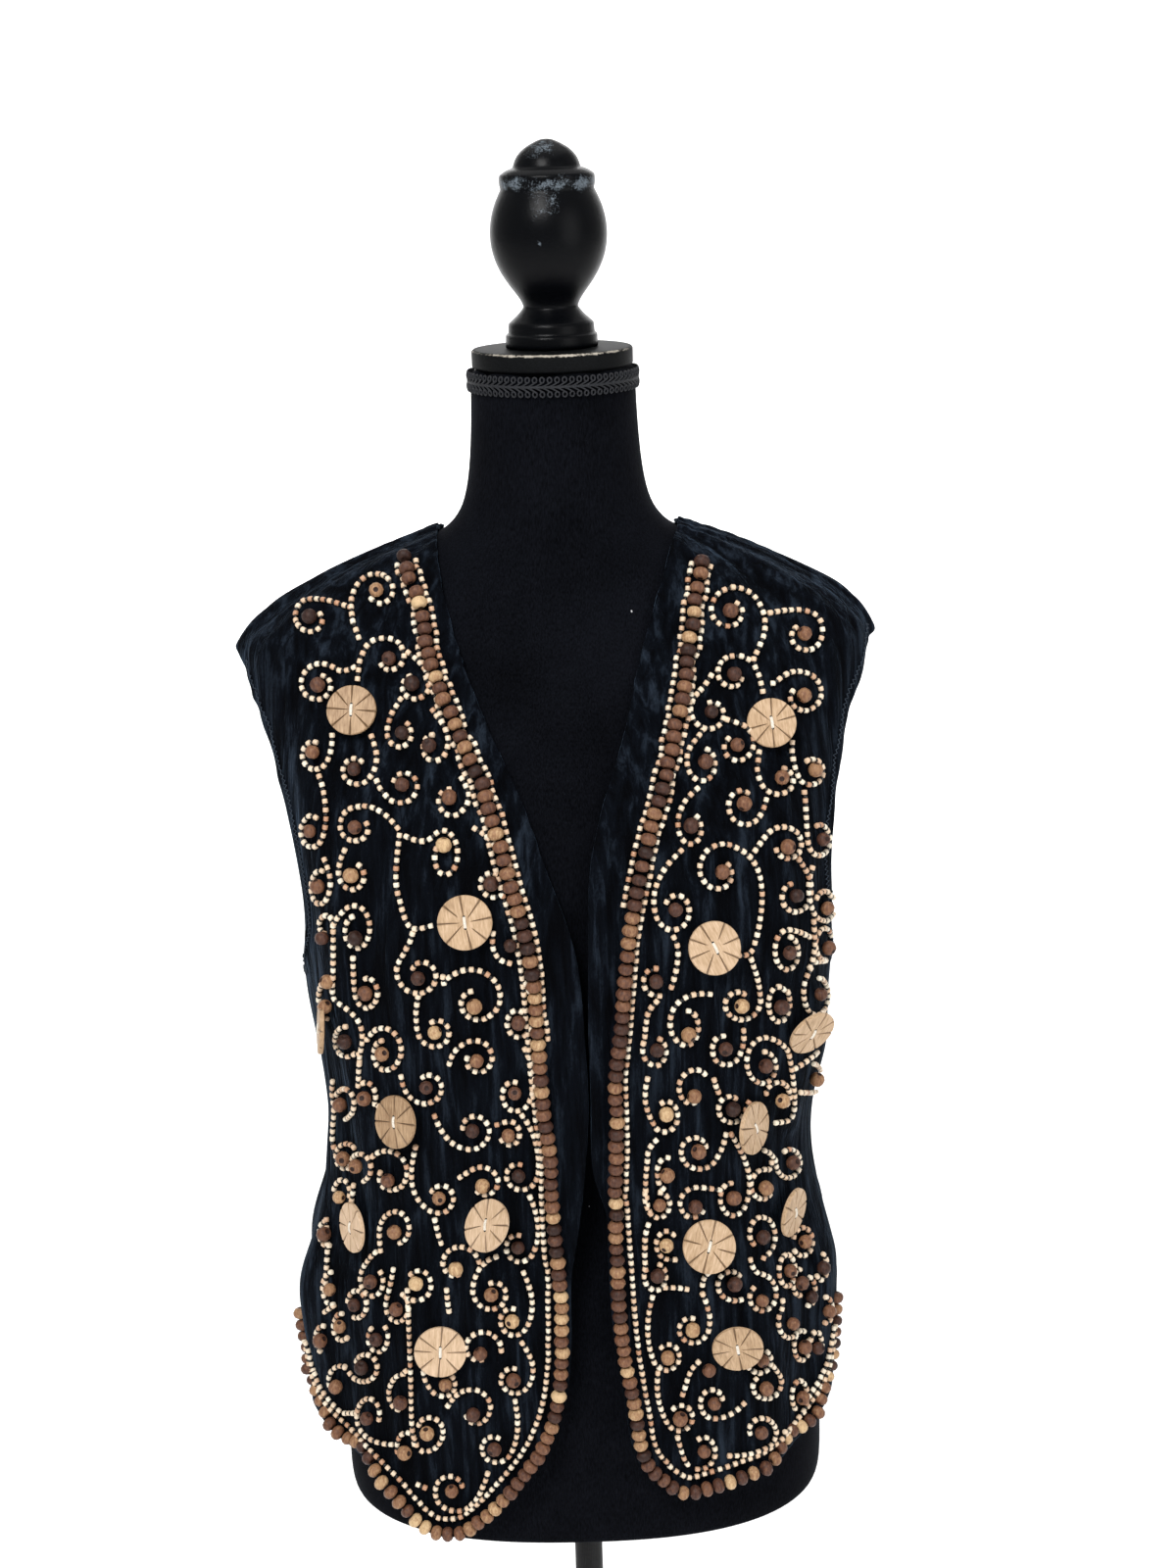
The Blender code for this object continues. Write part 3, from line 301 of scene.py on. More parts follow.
SCROLLS_LEFT = [Scroll(*row) for row in (
    (745, 624, 25, 12.5, 12.5, 779, 630),
    (818, 648, 26, 11, -11.5, 781, 627),
    (747, 689, 21, 3, 10, 767, 675),
    (816, 710, 28, 10.5, -12.5, 784, 696),
    (725, 727, 24, 11, 12, 727, 686),
    (750, 761, 20, 11, -10.5, 738, 733, 1.1),
    (717, 778, 18, 12, 11, 719, 741, 1.4),
    (795, 794, 20, 12, 8.5, 774, 764),
    (826, 786, 15, 10.5, 10, 808, 753, 1.1),
    (757, 820, 21, 1.5, -10, 782, 812, 1.2),
    (705, 842, 14, 12.5, 8.5, 714, 802, 1.4, 2),
    (734, 889, 27, 1, 12, 768, 965, 1.1),
    (800, 863, 22, 9, -11, 767, 871),
    (808, 913, 17, 12, -9, 811, 874, 1.2),
    (834, 856, 12, 11, 10, 819, 804, 1.5),
    (688, 927, 21, 9.5, 11.5, 697, 865, 1.2),
    (839, 925, 12, 9.5, 10.5, 828, 881, 1.4, -2),
    (802, 970, 14, 12, 12.5, 825, 956, 1.6),
    (839, 966, 9, 2, -8, 828, 981, 1.8, -3),
    (668, 999, 13, 1, -7, 677, 1015, 1.2),
    (753, 1024, 22, 1.5, -11, 764, 975, 1, -2),
    (793, 1025, 11, 1.5, -12, 0, 0, 1.8, -2),
    (832, 1014, 14, 12, 9, 827, 984, 1.7),
    (700, 1053, 18, 11.5, 12, 728, 1014, 1.5, -8),
    (669, 1069, 13, 12, 9, 658, 1060, 1.3, 2),
    (738, 1068, 17, 12.5, -9, 757, 1047, 1.2),
    (778, 1085, 22, 11.5, 13.5, 803, 1073, 1.3),
    (827, 1099, 10, 12, 6, 813, 1113, 1.5),
    (794, 1120, 14, 5, -7.5, 783, 1116, 1.2, -2),
    (706, 1116, 19, 5, 8, 720, 1098, 1.2, -4),
    (744, 1129, 16, 1.5, -10.5, 765, 1121, 1.1),
    (679, 1134, 15, 10.5, 9.5, 661, 1096, 1.3, 2),
    (710, 1172, 23, 3, -11.5, 740, 1153),
    (680, 1196, 10, 1, -7, 0, 0, 1.7),
    (803, 1185, 14, 10.5, 10.5, 776, 1172, 1.3),
    (777, 1210, 15, 4, 8.5, 785, 1182, 1.2),
    (745, 1220, 16, 12.5, -9, 743, 1154, 1.4),
    (672, 1227, 13, 11.5, 9, 658, 1213, 1.2),
    (708, 1229, 19, 3.5, 9, 736, 1214),
    (680, 1268, 12, 2, -8, 692, 1284, 1.3),
    (774, 1261, 17, 7, 10.5, 778, 1287, 1.4, -2),
    (817, 1266, 11, 9, 11, 0, 0, 1.4),
    (669, 1299, 12, 12, 9, 659, 1290, 1.3, 2),
    (746, 1308, 18, 2, -8, 758, 1324),
    (801, 1296, 8, 1, -12, 0, 0, 2),
    (836, 1292, 6, 12, 8, 0, 0, 2.2),
    (775, 1325, 18, 11, -11, 764, 1281, 1.2, -4),
    (813, 1308, 6, 1, -8, 0, 0, 2.2),
    (824, 1321, 6, 10, 9, 0, 0, 2.4, -4),
    (705, 1354, 18, 1, -10, 715, 1316),
    (804, 1349, 12, 4, 6.5, 796, 1323, 1.5),
    (841, 1336, 6, 11, 8, 0, 0, 2.2),
    (681, 1382, 15, 10, 10.5, 666, 1319, 1.1),
    (816, 1372, 8, 1, -11, 0, 0, 1.9),
    (831, 1373, 6, 9, 7, 0, 0, 2, -3),
    (775, 1386, 14, 1, 7, 747, 1391, 1.1),
    (778, 1414, 19, 11, -9.5, 786, 1392, 1, -2),
    (727, 1429, 16, 3, -9.5, 761, 1428, 1.1),
    (814, 1424, 8, 7, 9.5, 811, 1448, 2),
    (694, 1444, 14, 10, 10, 671, 1396, 1.1),
    (774, 1459, 19, 8, 9.5, 740, 1484),
    (716, 1478, 16, 10.5, 7.5, 707, 1497, 1.2),
)]

# Straight runs of the vine between scrolls, each a few places along it
STEMS_RIGHT = [
    [(409, 848), (406, 878), (406, 903), (413, 932), (422, 947), (444, 943)],
    [(504, 948), (503, 965), (510, 978), (524, 983)],
    [(342, 946), (342, 975), (342, 1000), (343, 1018), (357, 1030),
     (368, 1043), (371, 1060), (368, 1078), (367, 1110)],
    [(342, 1100), (341, 1115), (343, 1130), (342, 1150), (342, 1165), (346, 1182)],
    [(363, 1205), (362, 1216), (360, 1228)],
    [(444, 1240), (448, 1258), (452, 1271)],
    [(456, 1312), (457, 1325), (459, 1340)],
    [(491, 1291), (500, 1284), (510, 1280)],
    [(417, 1312), (418, 1345), (419, 1375), (420, 1410), (421, 1445), (424, 1475)],
    [(335, 1240), (336, 1275), (333, 1320)],
    [(351, 1441), (368, 1441)],
    [(424, 1512), (438, 1518)],
]
STEMS_LEFT = [
    [(779, 630), (779, 645), (773, 664), (768, 675), (775, 693), (778, 710)],
    [(685, 952), (690, 962), (691, 978), (687, 1001), (684, 1010)],
    [(768, 966), (762, 973), (749, 974)],
    [(828, 936), (829, 953), (829, 968), (826, 983), (822, 988)],
    [(672, 1018), (664, 1027), (660, 1036), (659, 1047), (658, 1060)],
    [(807, 1091), (820, 1083), (832, 1073)],
    [(803, 1073), (806, 1090), (808, 1105), (809, 1120), (808, 1134), (803, 1142), (787, 1145)],
    [(727, 1098), (730, 1107), (733, 1116)],
    [(672, 1160), (662, 1170), (660, 1183), (658, 1208), (660, 1229), (664, 1238)],
    [(662, 1245), (658, 1260), (658, 1289), (660, 1298)],
    [(675, 1313), (690, 1313), (704, 1315)],
    [(716, 1313), (718, 1303), (725, 1296)],
    [(695, 1425), (698, 1416), (704, 1398), (715, 1386)],
    [(691, 1462), (693, 1470), (698, 1488), (703, 1495)],
    [(797, 1460), (804, 1461)],
]
LONE_EYES_RIGHT = [(340, 1000), (521, 963)]
LONE_EYES_LEFT = [(722, 1395)]
CHARTS = {
    "right": (SCROLLS_RIGHT, STEMS_RIGHT, LONE_EYES_RIGHT),
    "left": (SCROLLS_LEFT, STEMS_LEFT, LONE_EYES_LEFT),
}


# Small helpers
def chosen(piece):
    """Select a piece and nothing else, and make it active."""
    for other in bpy.data.objects:
        other.select_set(False)
    bpy.context.view_layer.objects.active = piece
    piece.select_set(True)


def apply_modifiers(piece):
    chosen(piece)
    for modifier in list(piece.modifiers):
        bpy.ops.object.modifier_apply(modifier=modifier.name)
    piece.select_set(False)


def subdivide(piece, levels):
    smoother = piece.modifiers.new("smoother", "SUBSURF")
    smoother.levels = smoother.render_levels = levels


def linked(name, mesh, finish):
    """A piece made of a mesh, in one finish."""
    mesh.materials.clear()
    mesh.materials.append(finish)
    piece = bpy.data.objects.new(name, mesh)
    bpy.context.scene.collection.objects.link(piece)
    return piece


def finish_piece(piece):
    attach(piece, "root")


def vectors(items, field):
    flat = np.empty(len(items) * 3, np.float32)
    items.foreach_get(field, flat)
    return flat.reshape(-1, 3).astype(float)


def coordinates(mesh):
    return vectors(mesh.vertices, "co")


def set_coordinates(mesh, points):
    mesh.vertices.foreach_set("co", points.astype(np.float32).ravel())
    mesh.update()


def give_values(mesh, name, values):
    """An attribute on a mesh's points: a number each, or a vector each."""
    values = np.array(values, np.float32)
    kind, field = ("FLOAT", "value") if values.ndim == 1 else ("FLOAT_VECTOR", "vector")
    mesh.attributes.new(name, kind, "POINT").data.foreach_set(field, values.ravel())


def welded(mesh, distance=WELD):
    """A solid's mesh opened for editing, with the doubled points of its faces joined."""
    bm = bmesh.new()
    bm.from_mesh(mesh)
    bmesh.ops.remove_doubles(bm, verts=bm.verts, dist=distance)
    return bm


def squared(name, bm, finish):
    """A piece from an opened mesh, its triangles joined two by two."""
    bmesh.ops.join_triangles(bm, faces=bm.faces, angle_face_threshold=math.pi, angle_shape_threshold=math.pi)
    mesh = bpy.data.meshes.new(name)
    bm.to_mesh(mesh)
    bm.free()
    return linked(name, mesh, finish)


def tree_of(mesh):
    bm = bmesh.new()
    bm.from_mesh(mesh)
    tree = BVHTree.FromBMesh(bm)
    bm.free()
    return tree


def nearness(places):
    """A tree that finds the nearest of some places."""
    tree = KDTree(len(places))
    for i, place in enumerate(places):
        tree.insert(place, i)
    tree.balance()
    return tree


def open_edges(mesh):
    """The edges that only one face uses, as pairs of points."""
    uses = np.zeros(len(mesh.edges), int)
    loop_edges = np.empty(len(mesh.loops), np.int32)
    mesh.loops.foreach_get("edge_index", loop_edges)
    np.add.at(uses, loop_edges, 1)
    return [tuple(edge.vertices) for edge in mesh.edges if uses[edge.index] == 1]


def select_edges(piece, wanted):
    """Select the edges whose two corners pass, and nothing else."""
    mesh = piece.data
    for part in (*mesh.vertices, *mesh.polygons):
        part.select = False
    for edge in mesh.edges:
        edge.select = wanted([mesh.vertices[i] for i in edge.vertices])
        for i in edge.vertices:
            mesh.vertices[i].select = mesh.vertices[i].select or edge.select
    chosen(piece)
    bpy.context.tool_settings.mesh_select_mode = (False, True, False)


def chance(seed):
    return np.random.default_rng(seed)


def soft_step(value):
    t = min(max(value, 0.0), 1.0)
    return t * t * (3 - 2 * t)


def bell(value):
    return math.exp(-(value**2))


# The camera and its rays
def camera_axes():
    forward = Vector((0, math.cos(CAMERA_PITCH), -math.sin(CAMERA_PITCH)))
    level = Vector((1, 0, 0))
    upright = level.cross(forward)
    right = level * math.cos(CAMERA_ROLL) - upright * math.sin(CAMERA_ROLL)
    up = level * math.sin(CAMERA_ROLL) + upright * math.cos(CAMERA_ROLL)
    return right, up, forward


def photo_ray(x, y):
    """The direction from the camera through a pixel of the photograph."""
    right, up, forward = camera_axes()
    across = (x - PHOTO_WIDTH / 2) / FOCAL_PIXELS
    down = (y - PHOTO_HEIGHT / 2) / FOCAL_PIXELS
    return (forward + right * across - up * down).normalized()


def place_camera():
    right, up, forward = camera_axes()
    data = bpy.data.cameras.new("camera")
    data.sensor_width = SENSOR
    data.lens = SENSOR * FOCAL_PIXELS / PHOTO_HEIGHT
    camera = bpy.data.objects.new("camera", data)
    turn = Matrix((right, up, -forward)).transposed().to_4x4()
    camera.matrix_world = Matrix.Translation(CAMERA_PLACE) @ turn
    bpy.context.scene.collection.objects.link(camera)
    bpy.context.scene.camera = camera


# The vine, charted in pixels and carried onto the cloth
def clock_way(hour):
    angle = math.tau * hour / 12
    return math.sin(angle), -math.cos(angle)


def scroll_line(scroll):
    """A scroll's line in pixels: its spiral, then its stem as an arc that leaves along the spiral."""
    line = []
    steps = max(int(abs(scroll.sweep) * 3), 6)
    heart = min(SCROLL_HEART, scroll.loop)
    for i in range(steps + 1):
        share = i / steps
        across, down = clock_way(scroll.start + scroll.sweep * share)
        radius = heart + (scroll.loop - heart) * share**SPIRAL_GROWTH
        line.append((scroll.eye_x + radius * across, scroll.eye_y + scroll.drop + radius * scroll.tall * down))
    if scroll.end_x:
        (x0, y0), (x1, y1) = line[-2], line[-1]
        run = math.hypot(scroll.end_x - x1, scroll.end_y - y1)
        step = math.hypot(x1 - x0, y1 - y0)
        pull_x = x1 + (x1 - x0) / step * run * STEM_PULL
        pull_y = y1 + (y1 - y0) / step * run * STEM_PULL
        for i in range(1, STEM_STEPS + 1):
            t = i / STEM_STEPS
            x = (1 - t) ** 2 * x1 + 2 * t * (1 - t) * pull_x + t * t * scroll.end_x
            y = (1 - t) ** 2 * y1 + 2 * t * (1 - t) * pull_y + t * t * scroll.end_y
            line.append((x, y))
    return line


def rounded(places):
    """A line of few places, with its corners rounded by the curve that passes through them."""
    padded = [places[0], *places, places[-1]]
    line = []
    for corners in zip(padded, padded[1:], padded[2:], padded[3:]):
        for i in range(ROUNDING_STEPS):
            t = i / ROUNDING_STEPS
            point = []
            for a, b, c, d in zip(*corners):
                bend = 2 * a - 5 * b + 4 * c - d + t * (3 * b - a - 3 * c + d)
                point.append(b + 0.5 * t * (c - a + t * bend))
            line.append(tuple(point))
    return line + [places[-1]]


def on_cloth(line, tree):
    """A line of pixels carried onto the cloth, cut where a ray misses it or jumps across a fold."""
    runs = [[]]
    for x, y in line:
        place = tree.ray_cast(CAMERA_PLACE, photo_ray(x, y))[0]
        if place is None or (runs[-1] and (place - Vector(runs[-1][-1])).length > LONGEST_JUMP):
            if runs[-1]:
                runs.append([])
            if place is None:
                continue
        runs[-1].append(tuple(place))
    return [run for run in runs if len(run) > 1]


def vine(scrolls, stems, lone_eyes, tree):
    """The vine's lines on a front, and the places of its eye beads."""
    lines = []
    for line in [scroll_line(scroll) for scroll in scrolls] + [rounded(stem) for stem in stems]:
        lines += on_cloth(line, tree)
    eyes = []
    for x, y in [(scroll.eye_x, scroll.eye_y) for scroll in scrolls] + lone_eyes:
        place, normal, _, _ = tree.ray_cast(CAMERA_PLACE, photo_ray(x, y))
        if place is not None:
            eyes.append((place, normal))
    return lines, eyes


# Material nodes
def start_material(name, **settings):
    """A material whose shader's own sockets hold the settings, and its node tree."""
    finish = bpy.data.materials.new(name)
    finish.use_nodes = True
    tree = finish.node_tree
    shader = tree.nodes["Principled BSDF"]
    for socket, value in settings.items():
        shader.inputs[socket.replace("_", " ")].default_value = value
    return finish, tree, shader


def fill(tree, socket, value):
    """Set a socket to a value, or link it where the value is another node's output."""
    if isinstance(value, bpy.types.NodeSocket):
        tree.links.new(value, socket)
    else:
        socket.default_value = value


def add(tree, kind, links=None, **settings):
    """A node with its settings, and its sockets set or linked."""
    made = tree.nodes.new("ShaderNode" + kind)
    for name, value in settings.items():
        setattr(made, name, value)
    for name, value in (links or {}).items():
        fill(tree, made.inputs[name], value)
    return made


def object_place(tree, upright=1.0):
    """Where a point lies on its piece, with upright below one to draw a pattern out upwards."""
    place = add(tree, "TexCoord").outputs["Object"]
    return add(tree, "Mapping", {"Vector": place, "Scale": (1.0, 1.0, upright)}).outputs["Vector"]


def own_value(tree, name):
    return add(tree, "Attribute", attribute_name=name).outputs["Fac"]


def noise_value(tree, place, scale, detail=3.0, roughness=0.55, distortion=0.0):
    links = {"Vector": place, "Scale": scale, "Detail": detail}
    links.update({"Roughness": roughness, "Distortion": distortion})
    return add(tree, "TexNoise", links).outputs["Fac"]


def calculate(tree, operation, first, second):
    made = add(tree, "Math", operation=operation)
    fill(tree, made.inputs[0], first)
    fill(tree, made.inputs[1], second)
    return made.outputs[0]


def plus(tree, first, second):
    return calculate(tree, "ADD", first, second)


def times(tree, first, second):
    return calculate(tree, "MULTIPLY", first, second)


def sway(tree, value, size):
    """How far a noise stands from its middle, at a chosen size."""
    return times(tree, calculate(tree, "SUBTRACT", value, 0.5), size)


def ramp(tree, value, *stops):
    """A colour ramp. stops holds places and colours."""
    made = add(tree, "ValToRGB", {"Fac": value})
    elements = made.color_ramp.elements
    while len(elements) < len(stops):
        elements.new(0.5)
    for element, (place, colour) in zip(elements, stops):
        element.position = place
        element.color = (*colour, 1.0)
    return made.outputs["Color"]


def mixed(tree, factor, first, second):
    """Two colours mixed by a factor."""
    made = add(tree, "Mix", data_type="RGBA")
    colours = [socket for socket in made.inputs if socket.type == "RGBA"]
    fill(tree, made.inputs["Factor"], factor)
    for socket, value in zip(colours, (first, second)):
        fill(tree, socket, (*value, 1.0) if isinstance(value, tuple) else value)
    return next(socket for socket in made.outputs if socket.type == "RGBA")


def paint(tree, shader, colour):
    tree.links.new(colour, shader.inputs["Base Color"])


def bump(tree, shader, height, depth, strength):
    made = add(tree, "Bump", {"Height": height, "Distance": depth, "Strength": strength})
    tree.links.new(made.outputs["Normal"], shader.inputs["Normal"])


# Finishes
def crushed_velvet():
    """Blue-black velvet whose pile is crushed into fine upright streaks, painted lighter along the streaks and
    folds as a painted sheen.
    """
    finish, tree, shader = start_material(
        "velvet_crushed", Roughness=0.9, Sheen_Weight=0.105, Sheen_Roughness=0.30,
        Sheen_Tint=(0.36, 0.55, 0.82, 1.0), Specular_IOR_Level=0.04,
    )
    streaks = noise_value(tree, object_place(tree, 0.10), 190.0, 4.0, 0.6, 0.5)
    folds = noise_value(tree, object_place(tree, 0.16), 70.0, 3.0, 0.5, 0.8)
    pile = noise_value(tree, object_place(tree, 0.5), 1100.0, 2.0)
    crushed_sheen = times(tree, plus(tree, streaks, 0.2), plus(tree, folds, 0.2))
    # The colour runs from near black to slate blue where the upright streaks and folds stand highest: a painted
    # sheen on their ridges, over the pile's own mottling.
    paint(tree, shader, ramp(
        tree, plus(tree, crushed_sheen, sway(tree, pile, 0.18)),
        (0.36, (0.0006, 0.0008, 0.0015)), (0.52, (0.0020, 0.0030, 0.0052)), (0.76, (0.0165, 0.0235, 0.0350)),
    ))
    height = plus(tree, times(tree, folds, 1.6), times(tree, streaks, 0.7))
    bump(tree, shader, plus(tree, height, times(tree, pile, 0.08)), 0.0026, 1.0)
    return finish


def form_velvet():
    """Short black pile over a fine weave, with a little white lint."""
    finish, tree, shader = start_material(
        "velvet_form", Roughness=0.95, Sheen_Weight=0.035, Sheen_Roughness=0.35,
        Sheen_Tint=(0.60, 0.66, 0.80, 1.0), Specular_IOR_Level=0.03,
    )
    place = object_place(tree)
    weave = noise_value(tree, object_place(tree, 0.22), 1300.0, 2.0)
    clouds = noise_value(tree, place, 14.0)
    base = times(tree, plus(tree, weave, 0.1), plus(tree, clouds, 0.4))
    colour = ramp(tree, base, (0.30, (0.0006, 0.0007, 0.0011)), (0.75, (0.0046, 0.0053, 0.0078)))
    flecks = add(tree, "TexVoronoi", {"Vector": object_place(tree, 0.6), "Scale": 55.0}).outputs["Distance"]
    sparse = calculate(tree, "GREATER_THAN", noise_value(tree, place, 33.0, 1.0), 0.60)
    lint = times(tree, calculate(tree, "LESS_THAN", flecks, 0.028), sparse)
    paint(tree, shader, mixed(tree, lint, colour, (0.45, 0.45, 0.46)))
    bump(tree, shader, weave, 0.0004, 0.5)
    return finish


def bead_wood():
    """Small wooden beads, from cream-tan to dark brown. The tone attribute picks each bead's colour."""
    finish, tree, shader = start_material("wood_beads", Roughness=0.50, Specular_IOR_Level=0.25)
    grain = noise_value(tree, object_place(tree, 0.35), 620.0, 4.0, 0.65)
    paint(tree, shader, ramp(
        tree, plus(tree, own_value(tree, "tone"), sway(tree, grain, 0.85)),
        (0.0, (0.026, 0.011, 0.008)), (0.28, (0.080, 0.034, 0.022)), (0.52, (0.185, 0.084, 0.045)),
        (0.76, (0.360, 0.205, 0.105)), (1.0, (0.640, 0.450, 0.250)),
    ))
    bump(tree, shader, grain, 0.0005, 0.7)
    return finish


def disc_wood():
    """Sanded pale wood, on each disc's own axes. The tone attribute picks each disc's colour. Its grooves are
    darkened as painted shade, and its two holes are painted as dark spots.
    """
    finish, tree, shader = start_material("wood_discs", Roughness=0.5, Specular_IOR_Level=0.3)
    tone = own_value(tree, "tone")
    own = add(tree, "Attribute", attribute_name="own_place").outputs["Vector"]
    offset = add(tree, "CombineXYZ", {"Z": tone}).outputs["Vector"]
    place = add(tree, "VectorMath", {0: own, 1: offset}, operation="ADD").outputs["Vector"]
    stretched = add(tree, "Mapping", {"Vector": place, "Scale": (0.16, 1.0, 1.0)}).outputs["Vector"]
    grain = noise_value(tree, stretched, 900.0, 4.0, 0.6, 0.4)
    cloud = noise_value(tree, place, 70.0, 2.0)
    value = plus(tree, times(tree, grain, 0.60), times(tree, cloud, 0.25))
    colour = ramp(
        tree, plus(tree, value, times(tree, tone, 0.42)),
        (0.24, (0.120, 0.062, 0.028)), (0.42, (0.260, 0.155, 0.080)),
        (0.62, (0.470, 0.315, 0.185)), (0.90, (0.74, 0.545, 0.375)),
    )
    # The grooves are darkened towards dark brown: painted shade in them.
    grooved = mixed(tree, times(tree, own_value(tree, "groove"), 0.80), colour, (0.055, 0.028, 0.013))
    # Two near-black spots where the thread goes through: painted shade standing for the bored holes.
    shaded_holes = []
    for side in (-1, 1):
        centre = (side * DISC_HOLE_SPREAD, 0.0, DISC_THICK / 2)
        away = add(tree, "VectorMath", {0: own, 1: centre}, operation="DISTANCE").outputs["Value"]
        shaded_holes.append(calculate(tree, "LESS_THAN", away, DISC_HOLE_RADIUS))
    paint(tree, shader, mixed(tree, calculate(tree, "MAXIMUM", *shaded_holes), grooved, (0.004, 0.003, 0.002)))
    bump(tree, shader, grain, 0.0004, 0.5)
    return finish


def worn_paint_and_highlight(name, roughness, specular, base_tint, wear_and_highlight_scale, wear_and_highlight_floor, worn_and_highlight_colour):
    """Black paint over wood, rubbed through in patches. On the finial the same light colour also paints a
    highlight.
    """
    finish, tree, shader = start_material(name, Roughness=roughness, Specular_IOR_Level=specular)
    place = object_place(tree)
    patches = noise_value(tree, place, wear_and_highlight_scale, 5.0, 0.70)
    fine = noise_value(tree, place, wear_and_highlight_scale * 9)
    # Where the attribute is high the paint turns to the light colour: rubbed-through paint, and on the finial's
    # shoulder a painted highlight.
    worn_and_highlight = times(tree, plus(tree, patches, sway(tree, fine, 0.60)), own_value(tree, "wear_and_highlight"))
    mask = ramp(tree, worn_and_highlight, (wear_and_highlight_floor, (0.0, 0.0, 0.0)), (wear_and_highlight_floor + 0.16, (1.0, 1.0, 1.0)))
    darker = tuple(c * 0.35 for c in base_tint)
    base = ramp(tree, fine, (0.3, darker), (0.8, base_tint))
    paint(tree, shader, mixed(tree, mask, base, worn_and_highlight_colour))
    bump(tree, shader, plus(tree, fine, patches), 0.0005, 0.30)
    return finish


def cap_paint():
    tint, rubbed_and_highlight = (0.0040, 0.0048, 0.0056), (0.42, 0.38, 0.32)
    return worn_paint_and_highlight("paint_cap", 0.55, 0.08, tint, 90.0, 0.44, rubbed_and_highlight)


def finial_lacquer():
    # The light rubbed colour also paints a highlight on the finial's shoulder.
    tint, rubbed_and_highlight = (0.0018, 0.0023, 0.0034), (0.130, 0.155, 0.180)
    return worn_paint_and_highlight("lacquer_finial", 0.26, 0.09, tint, 130.0, 0.40, rubbed_and_highlight)


def fine_finish(name, scale, detail, dark, light, bumped=None, **settings):
    """A finish with one fine noise between two colours. bumped: the bump's depth and strength."""
    finish, tree, shader = start_material(name, **settings)
    value = noise_value(tree, object_place(tree), scale, detail)
    paint(tree, shader, ramp(tree, value, dark, light))
    if bumped:
        bump(tree, shader, value, *bumped)
    return finish


def seed_cream():
    finish, tree, shader = start_material("seed_beads", Roughness=0.40, Coat_Weight=0.12, Coat_Roughness=0.25)
    paint(tree, shader, ramp(
        tree, own_value(tree, "tone"),
        (0.0, (0.50, 0.265, 0.150)), (0.4, (0.76, 0.55, 0.370)), (1.0, (0.90, 0.80, 0.63)),
    ))
    return finish


def black_seed():
    """Glassy black beads."""
    return fine_finish(
        "seed_beads_black", 700.0, 2.0, (0.3, (0.0015, 0.0015, 0.0020)), (0.7, (0.0060, 0.0060, 0.0080)),
        Roughness=0.25, Specular_IOR_Level=0.4,
    )


def thread_cotton():
    return fine_finish(
        "thread", 1800.0, 2.0, (0.3, (0.62, 0.54, 0.42)), (0.7, (0.88, 0.84, 0.76)), (0.0003, 0.6),
        Roughness=0.8, Sheen_Weight=0.3,
    )


def black_thread():
    return fine_finish(
        "thread_black", 1500.0, 2.0, (0.3, (0.0060, 0.0065, 0.0085)), (0.7, (0.0240, 0.0260, 0.0310)),
        (0.0004, 0.7),
        Roughness=0.6, Sheen_Weight=0.05, Specular_IOR_Level=0.25,
    )


def stitch_thread():
    """Blue-grey sewing thread."""
    return fine_finish(
        "thread_stitches", 1800.0, 2.0, (0.3, (0.014, 0.020, 0.030)), (0.7, (0.048, 0.066, 0.090)),
        Roughness=0.7, Specular_IOR_Level=0.2,
    )


def painted_iron():
    return fine_finish(
        "iron_painted", 420.0, 4.0, (0.3, (0.0035, 0.0035, 0.0040)), (0.75, (0.0090, 0.0092, 0.0100)),
        (0.0003, 0.35),
        Roughness=0.42, Specular_IOR_Level=0.22,
    )


def pale_stage():
    return start_material(
        "stage_pale", Roughness=0.9, Base_Color=(0.94, 0.94, 0.94, 1.0),
        Emission_Color=(1.0, 1.0, 1.0, 1.0), Emission_Strength=0.35,
    )[0]


# Turned pieces, from the frame's own profiles
def lathe(profile, sides):
    """A solid of revolution, drawn up ring by ring from its foot by extruding and resizing."""
    height, radius = profile[0]
    bpy.ops.mesh.primitive_circle_add(vertices=sides, radius=radius, fill_type="NGON", location=(0, 0, height))
    piece = bpy.context.object
    bpy.ops.object.transform_apply(location=True, rotation=True, scale=True)
    bpy.ops.object.mode_set(mode="EDIT")
    bpy.ops.mesh.select_all(action="SELECT")
    for next_height, next_radius in profile[1:]:
        bpy.ops.mesh.extrude_region_move(TRANSFORM_OT_translate={"value": (0, 0, next_height - height)})
        share = next_radius / radius
        bpy.ops.transform.resize(value=(share, share, 1), center_override=(0, 0, next_height))
        height, radius = next_height, next_radius
    bpy.ops.mesh.select_all(action="SELECT")
    bpy.ops.mesh.normals_make_consistent(inside=False)
    bpy.ops.object.mode_set(mode="OBJECT")
    piece.select_set(False)
    return piece


def profile_of(node):
    """Heights and radii of a turned CAD node, from its foot up."""
    rings = {}
    for x, y, z in coordinates(node.data):
        height = round(z, 4)
        rings[height] = max(rings.get(height, 0.0), math.hypot(x, y))
    return sorted(rings.items())


def turned(name, node, finish, sides, wear_and_highlight=None, levels=1):
    """A finer solid of revolution on a CAD node's profile, with its sharp rings kept sharp."""
    piece = lathe(profile_of(node), sides)
    piece.name = piece.data.name = name
    piece.data.materials.append(finish)
    bm = bmesh.new()
    bm.from_mesh(piece.data)
    crease = bm.edges.layers.float.new("crease_edge")
    for edge in bm.edges:
        if len(edge.link_faces) == 2 and edge.calc_face_angle() > SHARP_RING:
            edge[crease] = RING_CREASE
    bm.to_mesh(piece.data)
    bm.free()
    subdivide(piece, levels)
    apply_modifiers(piece)
    piece.data.shade_smooth()
    if wear_and_highlight:
        give_values(piece.data, "wear_and_highlight", [wear_and_highlight(*point) for point in coordinates(piece.data)])
    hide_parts(node.name)
    finish_piece(piece)


